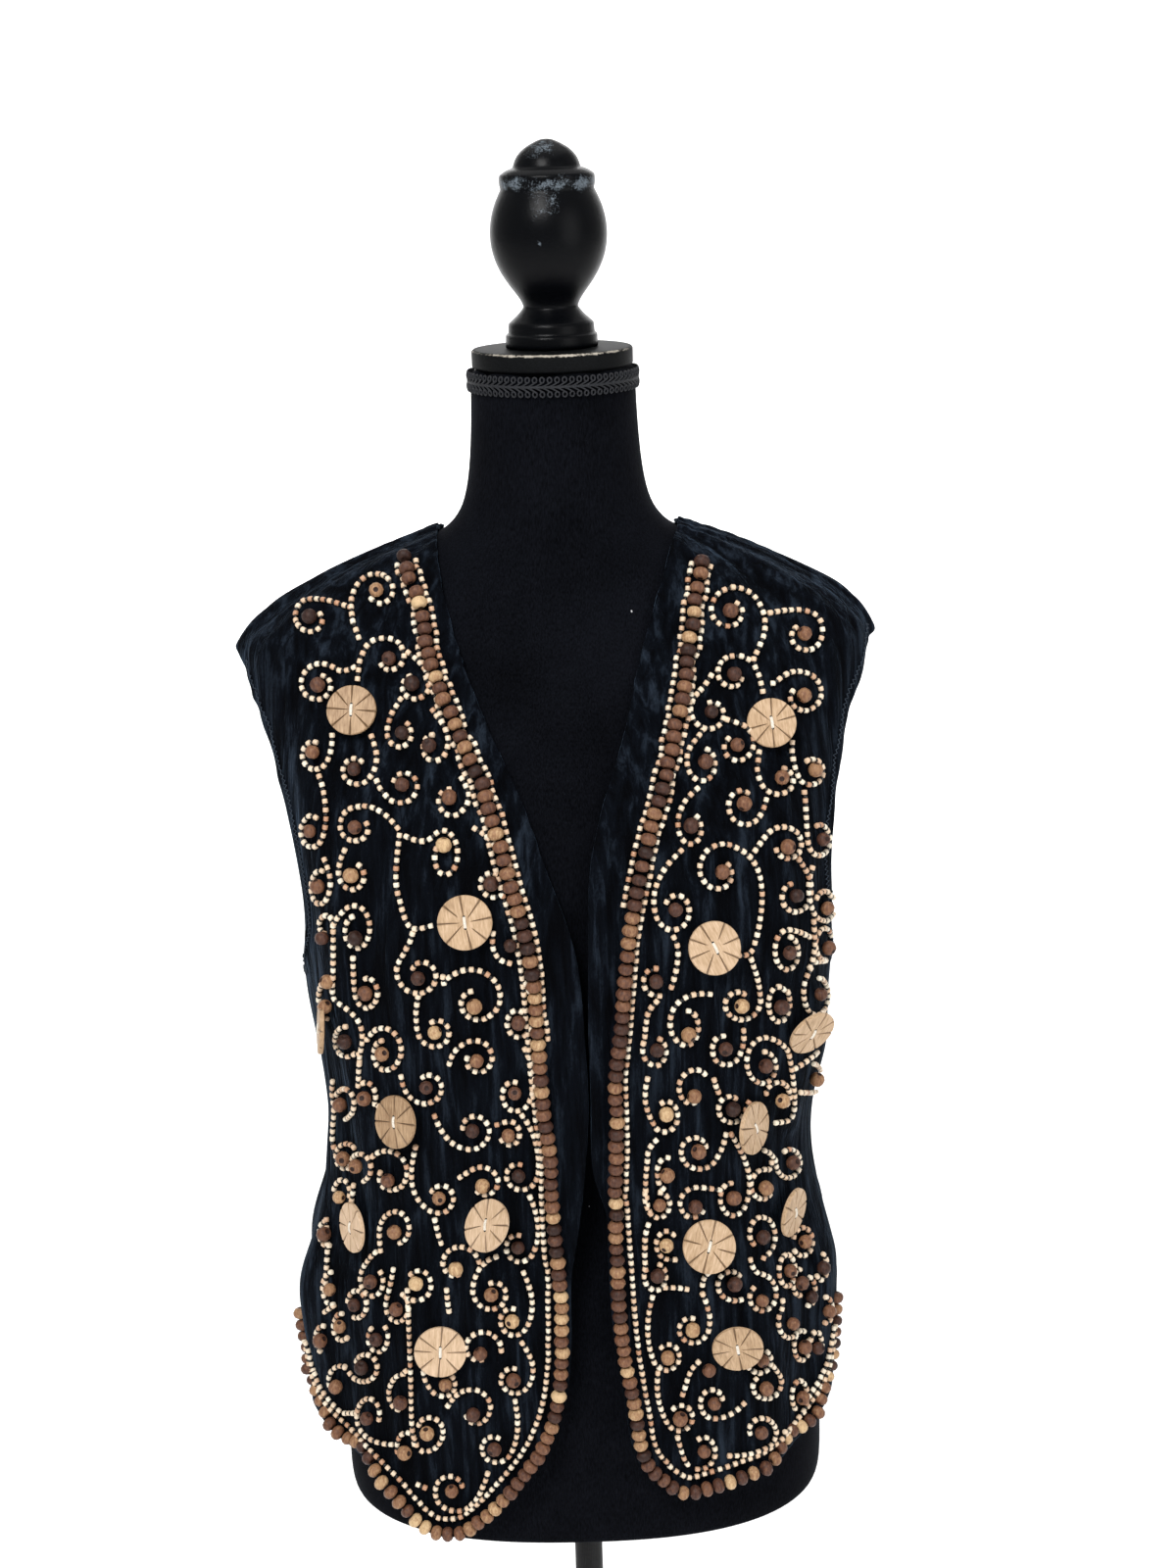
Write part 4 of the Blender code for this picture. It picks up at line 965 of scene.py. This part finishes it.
def cap_wear(rim_radius, top):
    """Wear on the cap's upper rim, mostly at the front."""
    def wear_and_highlight(x, y, z):
        rim = soft_step((math.hypot(x, y) - rim_radius + 0.003) / 0.002)
        upper = soft_step((z - top + 0.0022) / 0.0012)
        return rim * upper * (0.80 + 0.4 * soft_step(-y / 0.05))
    return wear_and_highlight


def finial_wear_and_highlight(foot):
    """Wear on the finial's collar, a lighter patch on the front of its crown, and a painted highlight on the
    front of its shoulder.
    """
    def wear_and_highlight(x, y, z):
        height = z - foot
        front = soft_step(-y / 0.012)
        collar = bell((height - 0.100) / 0.005)
        crown = bell(math.hypot(x + 0.004, y + 0.010) / 0.010) * soft_step((height - 0.112) / 0.004)
        # A painted highlight: a lighter patch on the front of the shoulder, under the collar, in the worn
        # colour.
        painted_highlight = bell((x + 0.001) / 0.010) * bell((height - 0.087) / 0.0075) * front
        nick = bell(math.hypot(x + 0.005, height - 0.066) / 0.0016) * front
        return 0.50 + 0.40 * collar + 0.45 * crown + 0.36 * painted_highlight + 0.6 * nick
    return wear_and_highlight


# The form's cover and the cloth
def smooth_form(node):
    """A finer form over the CAD one, with the same points."""
    piece = squared("form_cover", welded(node.data), form_velvet())
    subdivide(piece, FORM_LEVELS)
    apply_modifiers(piece)
    piece.data.shade_smooth()
    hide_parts(node.name)
    finish_piece(piece)


def crinkle(x, y, z):
    """How far the crushed cloth stands out at a place: listed creases, and fine upright crinkles."""
    turn = math.degrees(math.atan2(x, -y))
    lift = 0.0
    for crease in CREASES:
        share = (crease.top - z) / (crease.top - crease.bottom)
        if -0.1 < share < 1.1:
            middle = crease.turn + crease.lean * share + 1.5 * math.sin(share * 7 + crease.turn)
            away = (turn - middle + 180) % 360 - 180
            fade = soft_step(share * 4) * soft_step((1 - share) * 4)
            lift += crease.depth * fade * bell(away / crease.width)
    round_way = math.radians(turn) * 0.15
    coarse = noise.noise(Vector((round_way * 75, 3.1, z * 7)))
    fine = noise.noise(Vector((round_way * 210 + coarse, 7.7, z * 16)))
    shoulder = 1 + SHOULDER_EXTRA * soft_step((z - SHOULDER_FOOT) / SHOULDER_RISE)
    return lift + shoulder * (CRINKLE_COARSE * coarse + CRINKLE_FINE * fine)


def outer_faces_only(bm, form):
    """Keep the faces that look away from the form."""
    unwanted = []
    for face in bm.faces:
        nearest = form.find_nearest(face.calc_center_median())
        if nearest[0] is None or face.normal.dot(nearest[1]) < 0.5:
            unwanted.append(face)
    bmesh.ops.delete(bm, geom=unwanted, context="FACES")


def subdivided(base, points):
    """The points of a mesh subdivided from these control points."""
    set_coordinates(base.data, points)
    graph = bpy.context.evaluated_depsgraph_get()
    return coordinates(base.evaluated_get(graph).data)


def velvet_shell(name, node, form, finish):
    """A thin shell that passes through the outer points of a panel's solid."""
    bm = welded(node.data)
    bm.normal_update()
    outer_faces_only(bm, form)
    piece = squared(name, bm, finish)
    subdivide(piece, SHELL_LEVELS)
    target = coordinates(piece.data)
    control = target.copy()
    for _ in range(FIT_PASSES):
        control += target - subdivided(piece, control)[: len(target)]
    set_coordinates(piece.data, control)
    apply_modifiers(piece)
    settle(piece.data, form)
    piece.data.shade_smooth()
    return piece


def settle(mesh, form):
    """Crinkle a shell outwards from its smooth form, thicken its turned hem, and keep it clear of the form."""
    points = coordinates(mesh)
    outward = vectors(mesh.vertex_normals, "vector")
    rim = nearness([Vector(points[i]) for i in {i for pair in open_edges(mesh) for i in pair}])
    for i, (point, normal) in enumerate(zip(points, outward)):
        from_rim = rim.find(Vector(point))[2]
        hem = HEM_LIFT * (1 - soft_step((from_rim - HEM_WIDTH) / HEM_FADE))
        moved = Vector(point + normal * (crinkle(*point) + hem))
        place, facing, _, distance = form.find_nearest(moved)
        if place is not None:
            clear = (moved - place).dot(facing)
            if clear < CLEAR_OF_FORM and distance < FORM_REACH:
                moved += facing * (CLEAR_OF_FORM - clear)
        points[i] = moved
    set_coordinates(mesh, points)


def thicken(piece):
    wall = piece.modifiers.new("wall", "SOLIDIFY")
    wall.thickness = SHELL_THICK
    wall.offset = -1
    apply_modifiers(piece)


def flat_cut(piece):
    """A shell's flat size as a cut piece: its arc across the widest level, its longest drop, and its area."""
    points = coordinates(piece.data)
    area = sum(face.area for face in piece.data.polygons)
    low, high = points[:, 2].min(), points[:, 2].max()
    widest = 0.0
    for level in np.arange(low, high, CUT_STEP):
        band = points[abs(points[:, 2] - level) < CUT_BAND]
        if len(band) > 8:
            depth = -band[:, 1] if band[:, 1].mean() < 0 else band[:, 1]
            ring = band[np.argsort(np.arctan2(band[:, 0], depth))][:: max(len(band) // CUT_PLACES, 1)]
            widest = max(widest, float(np.linalg.norm(np.diff(ring[:, :2], axis=0), axis=1).sum()))
    drop = float(high - low) * BODY_CURVE
    return (max(widest, area / drop / FULLEST_SHARE), drop), area


# Small shapes, each modelled once and copied along the threads
def small_lathe(rings, scale, sides):
    """The points and faces of a small turned shape. Its piece is put away."""
    piece = lathe([(height * scale, radius * scale) for height, radius in rings], sides)
    mesh = piece.data
    found = [tuple(vert.co) for vert in mesh.vertices], [tuple(face.vertices) for face in mesh.polygons]
    bpy.data.objects.remove(piece)
    return found


def seed_template():
    """A seed bead cut square, its rims hardly rounded."""
    half = SEED_LENGTH / SEED_RADIUS / 2
    rings = [(-half, 0.80), (-half * 0.80, 1.0), (half * 0.80, 1.0), (half, 0.80)]
    return small_lathe(rings, SEED_RADIUS, SEED_SIDES)


def spacer_template():
    return small_lathe([(-0.55, 0.8), (0.0, 1.0), (0.55, 0.8)], SPACER_RADIUS, SPACER_SIDES)


def round_bead_template(radius):
    """A turned bead with a small hole sunk in each end, and the points that lie in its holes, which are painted
    dark as shade.
    """
    rings = [(-0.76, HOLE_SHARE), (-0.90, 0.38), (-0.68, 0.76), (-0.24, 0.99)]
    rings += [(0.22, 1.0), (0.66, 0.78), (0.90, 0.38), (0.76, HOLE_SHARE)]
    template = small_lathe(rings, radius, BEAD_SIDES)
    shaded_holes = [i for i, (x, y, _) in enumerate(template[0]) if math.hypot(x, y) < radius * (HOLE_SHARE + 0.05)]
    return template, shaded_holes


def strewn(name, template, places, tones, finish, shaded_holes=()):
    """Copies of a small closed shape. places holds centres and three axes, the last along the thread."""
    verts, faces = template
    verts = np.array(verts)
    axes = np.array([axes for _, axes in places])
    centres = np.array([centre for centre, _ in places])
    all_verts = np.einsum("nij,mi->nmj", axes, verts) + centres[:, None, :]
    starts = range(0, len(places) * len(verts), len(verts))
    all_faces = [tuple(start + k for k in face) for start in starts for face in faces]
    mesh = bpy.data.meshes.new(name)
    mesh.from_pydata([tuple(vert) for vert in all_verts.reshape(-1, 3)], [], all_faces)
    mesh.update()
    mesh.shade_smooth()
    values = np.repeat(np.array(tones, np.float32)[:, None], len(verts), axis=1)
    # The points in each bead's holes take the darkest wood colour: painted shade in the holes.
    values[:, list(shaded_holes)] = HOLE_SHADE_TONE
    give_values(mesh, "tone", values.ravel())
    return linked(name, mesh, finish)


def seat(tree, point):
    """The nearest place on the cloth's face, and the direction out of it."""
    place, normal, _, _ = tree.find_nearest(Vector(point))
    if normal.dot(Vector((place.x, place.y, 0.0))) < 0:
        normal = -normal
    return place, normal


def frame_at(forward, normal, wide=1.0, long=1.0):
    """Three axes, the last along the thread and the first out of the cloth, at two sizes."""
    forward = forward.normalized()
    across = forward.cross(normal).normalized()
    outward = across.cross(forward).normalized()
    return [[c * size for c in axis] for axis, size in ((outward, wide), (across, wide), (forward, long))]


def spaced(points, pitch):
    """Places a pitch apart along a line of points, with their headings."""
    points = np.array(points, float)
    lengths = np.concatenate([[0.0], np.cumsum(np.linalg.norm(np.diff(points, axis=0), axis=1))])
    whole = lengths[-1]
    count = max(int(round(whole / pitch)), 1)

    def at(station):
        return np.array([np.interp(station, lengths, points[:, i]) for i in range(3)])

    found = []
    for station in (np.arange(count) + 0.5) * whole / count:
        ahead = at(min(station + pitch / 2, whole))
        behind = at(max(station - pitch / 2, 0.0))
        found.append((Vector(at(station)), Vector(ahead - behind)))
    return found


def wood_tone(rng, middle):
    return float(np.clip(rng.normal(middle, TONE_SPREAD), 0.0, 1.0))


# Edge beads, from the frame's own strips
def strip_middles(node):
    """The middles of a strip's rings, walked from its upper end."""
    bm = welded(node.data, WELD / 2)
    plain = bm.copy()
    bmesh.ops.dissolve_limit(plain, angle_limit=math.radians(1), verts=plain.verts, edges=plain.edges)
    caps = [face for face in plain.faces if len(face.verts) == 5]
    top = max(caps, key=lambda face: face.calc_center_median().z)
    corners = [vert.co.copy() for vert in top.verts]
    plain.free()
    ring = [min(bm.verts, key=lambda vert: (vert.co - corner).length) for corner in corners]
    seen = set(ring)
    middles = []
    while ring:
        middles.append(sum((vert.co for vert in ring), Vector()) / len(ring))
        following = []
        for vert in ring:
            for edge in vert.link_edges:
                other = edge.other_vert(vert)
                if other not in seen:
                    seen.add(other)
                    following.append(other)
        ring = following
    bm.free()
    return middles


def edge_beads(side_name, node, tree, form, finish, seed):
    """One wooden bead at each wide ring of a strip. Where the cloth turns to the side they hang on its edge."""
    middles = strip_middles(node)
    rng = chance(seed)
    places = []
    tones = []
    for k in range(1, len(middles) - 1, 2):
        place, normal = seat(tree, middles[k])
        forward = (middles[k + 1] - middles[k - 1]).normalized()
        size = 0.95 + 0.12 * rng.random()
        wide = size * BEAD_BULGE
        radius = EDGE_BEAD_RADIUS * wide
        sideways = soft_step((abs(normal.x) - HANG_FACING) / HANG_FADE)
        hanging = sideways * soft_step((HANG_BELOW - middles[k].z) / HANG_DROP)
        room = form.find_nearest(place)[3]
        low = min(max(radius + LIGHTEST_CLEAR - room, 0.05 * radius), 0.98 * radius)
        rise = 0.98 * radius * (1 - hanging) + low * hanging
        across = forward.cross(normal).normalized() * OUTWARD[side_name]
        centre = place + across * radius * 1.15 * hanging + normal * rise
        places.append((tuple(centre), frame_at(forward, normal, wide, size * 0.97)))
        tones.append(wood_tone(rng, EDGE_TONE))
    template, shaded_holes = round_bead_template(EDGE_BEAD_RADIUS)
    piece = strewn("wood_beads_edge_" + side_name, template, places, tones, finish, shaded_holes)
    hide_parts(node.name)
    finish_piece(piece)
    return piece, middles


def eye_beads(side_name, eyes, finish, seed):
    """The wooden bead at the heart of each scroll, each turned its own way. Some show their holes."""
    rng = chance(seed)
    places = []
    tones = []
    for place, normal in eyes:
        turn = rng.random() * math.tau
        level = normal.orthogonal().normalized()
        lean = 0.35 * rng.random()
        if rng.random() < ENDWISE_SHARE:
            lean = ENDWISE_LEAN
        forward = level * math.cos(turn) + normal.cross(level) * math.sin(turn) + normal * lean
        size = 0.92 + 0.16 * rng.random()
        places.append((tuple(place + normal * EYE_RADIUS * size * 0.96), frame_at(forward, normal, size, size)))
        tones.append(wood_tone(rng, EYE_TONE))
    template, shaded_holes = round_bead_template(EYE_RADIUS)
    piece = strewn("wood_beads_eyes_" + side_name, template, places, tones, finish, shaded_holes)
    finish_piece(piece)
    return piece


# Strings of seed beads
def beside(middles, tree, offset, first, last):
    """A line on the cloth beside a strip, at an offset given by the share of the way along."""
    line = []
    for k in range(1, len(middles) - 1):
        share = k / (len(middles) - 1)
        if first <= share <= last:
            place, normal = seat(tree, middles[k])
            forward = (middles[k + 1] - middles[k - 1]).normalized()
            across = forward.cross(normal).normalized()
            line.append(tuple(place + across * offset(share)))
    return line


def border_lines(side_name, middles, tree):
    """The rows of seed beads on each side of the large ones."""
    away = OUTWARD[side_name]

    def inner(share):
        return away * (ROW_GAP + HEM_ROW_SPREAD * soft_step((share - SPREAD_START) / SPREAD_FADE))

    return [
        beside(middles, tree, inner, 0.0, ROW_END),
        beside(middles, tree, lambda share: -away * ROW_GAP, 0.0, OPENING_ROW_END[side_name]),
        beside(middles, tree, lambda share: inner(share) + away * ROW_STEP, SECOND_ROW_START, ROW_END),
    ]


def seeds_along(points, pitch, tree):
    """Centres and headings of seed beads strung along a line on the cloth."""
    beads = []
    for here, heading in spaced(points, pitch):
        place, normal = seat(tree, here)
        if heading.length > 1e-7:
            beads.append((tuple(place + normal * (SEED_RADIUS * SEED_SINK)), heading, normal))
    return beads


def make_seeds(side_name, strings, tree, finish, dark, seed):
    """The strings of cream seed beads, with a small black one between each two."""
    rng = chance(seed)
    places = []
    gaps = []
    for line, pitch in strings:
        if len(line) < 2:
            continue
        string = seeds_along(line, pitch, tree)
        for centre, heading, normal in string:
            places.append((centre, frame_at(heading, normal, 0.93 + 0.14 * rng.random())))
        for (first, heading, normal), (second, _, _) in zip(string, string[1:]):
            middle = (Vector(first) + Vector(second)) / 2
            gaps.append((tuple(middle), frame_at(heading, normal)))
    tones = np.clip(rng.normal(SEED_TONE, SEED_TONE_SPREAD, len(places)), 0.0, 1.0)
    cream = strewn("seed_beads_cream_" + side_name, seed_template(), places, tones, finish)
    black = strewn("seed_beads_black_" + side_name, spacer_template(), gaps, [0.0] * len(gaps), dark)
    finish_piece(cream)
    finish_piece(black)
    return cream, black


# Cords, and what is made of them
def cords(name, lines, radius, finish, sides=6):
    """Round cords along lines of points, drawn as curves and made one mesh."""
    curve = bpy.data.curves.new(name, "CURVE")
    curve.dimensions = "3D"
    curve.bevel_depth = radius
    curve.bevel_resolution = max(sides // 2 - 2, 0)
    curve.use_fill_caps = True
    for line in lines:
        spline = curve.splines.new("POLY")
        spline.points.add(len(line) - 1)
        for point, place in zip(spline.points, line):
            point.co = (*place, 1.0)
    piece = bpy.data.objects.new(name, curve)
    bpy.context.scene.collection.objects.link(piece)
    chosen(piece)
    bpy.ops.object.convert(target="MESH")
    piece = bpy.context.object
    piece.name = piece.data.name = name
    piece.data.materials.clear()
    piece.data.materials.append(finish)
    piece.data.shade_smooth()
    piece.select_set(False)
    return piece


def braid_point(turn, stand, height):
    radius = NECK_RADIUS + BRAID_STAND + stand
    return radius * math.cos(turn), radius * math.sin(turn), height


def make_gimp(node, finish):
    """Two rows of slanted threads that spring from a middle cord, each ending in a small loop."""
    low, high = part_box(node.name)
    middle = (low.z + high.z) / 2
    half = (high.z - low.z) / 2 - BRAID_CORD
    thread = [(0.0, 0.03), (0.45, 0.14), (0.95, 0.34)]
    for k in range(9):
        angle = math.tau * k / 8
        thread.append((1.15 + 0.30 * math.sin(angle), 0.70 - 0.27 * math.cos(angle)))
    lines = []
    for k in range(BRAID_LOOPS):
        for row in (-1, 1):
            lines.append([
                braid_point(
                    math.tau * (k + onward) / BRAID_LOOPS,
                    BRAID_BOW * math.sin(rise * math.pi), middle + row * half * rise,
                )
                for onward, rise in thread
            ])
    for rise in (-0.04, 0.04):
        turns = [math.tau * k / RING_STEPS for k in range(RING_STEPS + 1)]
        lines.append([braid_point(turn, 0.0003, middle + half * rise) for turn in turns])
    piece = cords("gimp_braid", lines, BRAID_CORD, finish)
    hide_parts(node.name)
    finish_piece(piece)


def rim_walks(mesh):
    """The open edges of a shell, as walks of places."""
    beside_point = {}
    for a, b in open_edges(mesh):
        beside_point.setdefault(a, []).append(b)
        beside_point.setdefault(b, []).append(a)
    walks = []
    while beside_point:
        here = min(beside_point)
        walk = []
        while here is not None:
            walk.append(mesh.vertices[here].co.copy())
            following = [other for other in beside_point.pop(here) if other in beside_point]
            here = following[0] if following else None
        walks.append(walk)
    return walks


def zigzag(run, tree):
    """A line that swings from side to side, inset from an edge and laid on the cloth."""
    line = []
    for k, (here, heading) in enumerate(spaced(run, STITCH_STEP)):
        _, normal = seat(tree, here)
        across = heading.cross(normal).normalized()
        inset = across * STITCH_INSET
        if tree.find_nearest(here + inset)[3] > tree.find_nearest(here - inset)[3]:
            across = -across
        swing = STITCH_SWING if k % 2 else -STITCH_SWING
        place, normal = seat(tree, here + across * (STITCH_INSET + swing))
        line.append(place + normal * STITCH_RADIUS * 0.8)
    return line


def free_runs(walk, seams):
    """The stretches of a walk that lie on an armhole and not on a seam."""
    runs = [[]]
    for place in walk + walk[:1]:
        if abs(place.x) > ARMHOLE_OUT and place.z > ARMHOLE_UP and seams.find(place)[2] > SEAM_CLEAR:
            runs[-1].append(place)
        elif runs[-1]:
            runs.append([])
    return [run for run in runs if len(run) > SHORTEST_RUN]


def armhole_stitches(shells, trees, finish):
    """A zigzag seam just inside each armhole's edge, one piece of thread for each panel."""
    rims = {name: rim_walks(piece.data) for name, piece in shells.items()}
    pieces = {}
    for name, walks in rims.items():
        others = [walk for other in rims if other != name for walk in rims[other]]
        seams = nearness([place for walk in others for place in walk])
        lines = [zigzag(run, trees[name]) for walk in walks for run in free_runs(walk, seams)]
        pieces[name] = cords("armhole_stitches_" + name, lines, STITCH_RADIUS, finish, 4)
        finish_piece(pieces[name])
    return pieces


# Wooden discs
def disc_place(node):
    """A disc's middle, its way out and its radius, from its solid."""
    unique = np.unique(coordinates(node.data).round(6), axis=0)
    middle = unique.mean(axis=0)
    _, _, axes = np.linalg.svd(unique - middle)
    facing = Vector(axes[2])
    if facing.dot(Vector((middle[0], middle[1], 0.0))) < 0:
        facing = -facing
    spread = np.linalg.norm(np.cross(unique - middle, np.array(facing)), axis=1)
    return Vector(middle), facing.normalized(), float(spread.max())


def disc_body(radius, rng):
    """A turned disc at the origin, facing up, with radial grooves pressed into its face."""
    half = DISC_THICK / 2
    profile = [(-half, radius * 0.97), (-half + DISC_RIM, radius)]
    profile += [(half - DISC_RIM, radius), (half, radius - DISC_RIM)]
    profile += [(half, radius * share) for share in DISC_RINGS]
    piece = lathe(profile, DISC_STEPS)
    starts = {}
    for g in range(DISC_GROOVES):
        turn = (g + GROOVE_SWING * (rng.random() - 0.5)) / DISC_GROOVES
        starts[round(turn * DISC_STEPS) % DISC_STEPS] = GROOVE_START + GROOVE_START_SPREAD * rng.random()
    grooved = []
    for vert in piece.data.vertices:
        step = round(math.atan2(vert.co.y, vert.co.x) / math.tau * DISC_STEPS) % DISC_STEPS
        away = math.hypot(vert.co.x, vert.co.y)
        vert.select = away > radius * starts.get(step, 2.0) and vert.co.z > half - DISC_RIM * 1.1
        grooved.append(1.0 if vert.select else 0.0)
    for part in (*piece.data.edges, *piece.data.polygons):
        part.select = False
    chosen(piece)
    bpy.ops.object.mode_set(mode="EDIT")
    bpy.ops.mesh.select_mode(type="VERT")
    bpy.ops.transform.translate(value=(0, 0, -GROOVE_DEPTH))
    bpy.ops.object.mode_set(mode="OBJECT")
    piece.select_set(False)
    return piece, grooved


def height_over_cloth(tree, middle, facing, radius):
    """How far a disc's middle must move out so that its back lies just clear of the cloth."""
    across = facing.orthogonal().normalized()
    other = facing.cross(across)
    rises = []
    for share, angle in [(0.0, 0.0)] + [(s, math.tau * k / 12) for s in (0.5, 1.0) for k in range(12)]:
        spot = middle + (across * math.cos(angle) + other * math.sin(angle)) * radius * share
        place = tree.ray_cast(spot + facing * 0.02, -facing, 0.03)[0]
        if place is not None:
            rises.append((place - middle).dot(facing))
    if not rises:
        return 0.0
    return min(max(max(rises) + DISC_THICK / 2 + LIGHTEST_CLEAR, -DISC_SHIFT_LIMIT), DISC_SHIFT_LIMIT)


def disc_thread(middle, along, sideways, facing):
    """Two threads side by side, each over a disc's face from one hole to the other."""
    lines = []
    for shift in (-THREAD_SHIFT, THREAD_SHIFT):
        line = []
        for t in np.linspace(-1.0, 1.0, 9):
            rise = DISC_THICK / 2 + THREAD_BOW * (1 - t**2) - (THREAD_DIP if abs(t) > 0.99 else 0.0)
            line.append(middle + along * (DISC_HOLE_SPREAD * t) + sideways * shift + facing * rise)
        lines.append(line)
    return lines


def make_discs(side_name, nodes, tree, wood, cotton, seed):
    """The grooved discs of a front, and the thread that holds each through its two holes."""
    rng = chance(seed)
    threads = []
    pieces = []
    for number, node in enumerate(nodes, 1):
        middle, facing, radius = disc_place(node)
        middle += facing * height_over_cloth(tree, middle, facing, radius)
        piece, grooved = disc_body(radius, rng)
        piece.name = piece.data.name = f"grooved_disc_{side_name}_{number:02d}"
        piece.data.materials.append(wood)
        piece.data.shade_smooth()
        piece.data.set_sharp_from_angle(angle=math.radians(30))
        lean = math.radians(90 + DISC_LEAN * (rng.random() - 0.5))
        level = Vector((0, 0, 1)).cross(facing).normalized()
        upward = facing.cross(level).normalized()
        along = level * math.cos(lean) + upward * math.sin(lean)
        sideways = facing.cross(along)
        flat = coordinates(piece.data)
        set_coordinates(piece.data, flat @ np.array([along, sideways, facing]) + np.array(middle))
        give_values(piece.data, "own_place", flat)
        give_values(piece.data, "tone", [0.2 + 0.7 * rng.random()] * len(flat))
        give_values(piece.data, "groove", grooved)
        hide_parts(node.name)
        finish_piece(piece)
        pieces.append(piece)
        threads += disc_thread(middle, along, sideways, facing)
    thread = cords("disc_threads_" + side_name, threads, THREAD_RADIUS, cotton)
    finish_piece(thread)
    return pieces + [thread]


# Light and stage
def add_light(name, place, target, size, power):
    data = bpy.data.lights.new(name, "AREA")
    data.shape = "RECTANGLE"
    data.size, data.size_y = size
    data.energy = power
    lamp = bpy.data.objects.new(name, data)
    lamp.location = place
    lamp.rotation_euler = (Vector(target) - Vector(place)).to_track_quat("-Z", "Y").to_euler()
    bpy.context.scene.collection.objects.link(lamp)


def stage_floor():
    """A pale floor that curves up into a pale wall."""
    bpy.ops.mesh.primitive_plane_add(size=1.0, location=(0.0, 0.0, 0.0))
    floor = bpy.context.object
    floor.name = floor.data.name = "stage_floor"
    bpy.ops.object.mode_set(mode="EDIT")
    bpy.ops.mesh.select_all(action="SELECT")
    bpy.ops.transform.resize(value=(FLOOR_SIZE, FLOOR_SIZE, 1.0), center_override=(0, 0, 0))
    bpy.ops.object.mode_set(mode="OBJECT")
    select_edges(floor, lambda edge: all(v.co.y > WALL_PLACE for v in edge))
    bpy.ops.object.mode_set(mode="EDIT")
    bpy.ops.mesh.extrude_region_move(TRANSFORM_OT_translate={"value": (0, 0, WALL_HEIGHT)})
    bpy.ops.object.mode_set(mode="OBJECT")
    select_edges(floor, lambda edge: all(v.co.y > WALL_PLACE and v.co.z < 0.1 for v in edge))
    bpy.ops.object.mode_set(mode="EDIT")
    bpy.ops.mesh.bevel(offset=WALL_CURVE, segments=14, affect="EDGES")
    bpy.ops.object.mode_set(mode="OBJECT")
    floor.data.materials.append(pale_stage())
    floor.data.shade_smooth()
    floor.select_set(False)


def light_studio():
    world = bpy.data.worlds.new("studio")
    world.use_nodes = True
    background = world.node_tree.nodes["Background"]
    background.inputs["Color"].default_value = (1.0, 1.0, 1.0, 1.0)
    background.inputs["Strength"].default_value = WORLD_STRENGTH
    bpy.context.scene.world = world
    bpy.context.scene.view_settings.view_transform = "Standard"
    add_light("key", (-0.7, -2.1, 3.2), (0, 0, 1.10), (0.9, 0.9), 66)
    add_light("fill", (1.9, -1.9, 1.7), (0, 0, 1.0), (1.6, 2.0), 17)
    add_light("top", (0.0, 0.2, 3.2), (0, 0, 1.0), (2.2, 2.2), 12)
    add_light("back_wall", (0.0, 4.2, 4.2), (0, 7.0, 1.2), (6.0, 1.6), 260)


# The whole
def make_vest(nodes):
    """The three panels, and on each front its edge beads, strings, eye beads and discs."""
    velvet, wood, cream, black = crushed_velvet(), bead_wood(), seed_cream(), black_seed()
    disc_finish, cotton = disc_wood(), thread_cotton()
    form = tree_of(nodes["form_torso"].data)
    shells = {}
    for name in ("front_right", "front_left", "back"):
        shells[name] = velvet_shell("velvet_" + name, nodes[name], form, velvet)
    trees = {name: tree_of(piece.data) for name, piece in shells.items()}
    cuts = {name: flat_cut(piece) for name, piece in shells.items()}
    sewn = {name: [piece] for name, piece in armhole_stitches(shells, trees, stitch_thread()).items()}
    for name, piece in shells.items():
        thicken(piece)
        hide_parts(name)
        finish_piece(piece)

    discs = [nodes[name] for name in sorted(nodes) if name.startswith("disc_")]
    for side_name, seed, share in (("right", 3, discs[:7]), ("left", 5, discs[7:])):
        tree = trees["front_" + side_name]
        edge, middles = edge_beads(side_name, nodes["edge_beads_" + side_name], tree, form, wood, seed)
        lines, eyes = vine(*CHARTS[side_name], tree)
        strings = [(line, SEED_PITCH) for line in lines]
        strings += [(line, BORDER_PITCH) for line in border_lines(side_name, middles, tree)]
        seeds = make_seeds(side_name, strings, tree, cream, black, seed + 20)
        hearts = eye_beads(side_name, eyes, wood, seed + 40)
        grooved = make_discs(side_name, share, tree, disc_finish, cotton, seed + 60)
        sewn["front_" + side_name] += [edge, *seeds, hearts, *grooved]
    for name, piece in shells.items():
        flat, area = cuts[name]


def make_stand(nodes):
    """The turned pieces over and under the form, and the braid."""
    make_gimp(nodes["neck_braid"], black_thread())
    cap_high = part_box("neck_cap")[1]
    cap_rub = cap_wear(cap_high.x, cap_high.z)
    finial_rub_and_highlight = finial_wear_and_highlight(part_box("finial")[0].z)
    iron = painted_iron()
    turned("cap_turned", nodes["neck_cap"], cap_paint(), 96, cap_rub, 2)
    turned("finial_turned", nodes["finial"], finial_lacquer(), 64, finial_rub_and_highlight, 2)
    turned("pole_turned", nodes["stand_pole"], iron, 48)
    turned("hub_turned", nodes["stand_hub"], iron, 64)
    turned("base_turned", nodes["stand_base"], iron, 128)


def main():
    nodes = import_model()["nodes"]
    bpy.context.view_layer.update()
    place_camera()
    stage_floor()
    light_studio()
    smooth_form(nodes["form_torso"])
    make_vest(nodes)
    make_stand(nodes)


main()
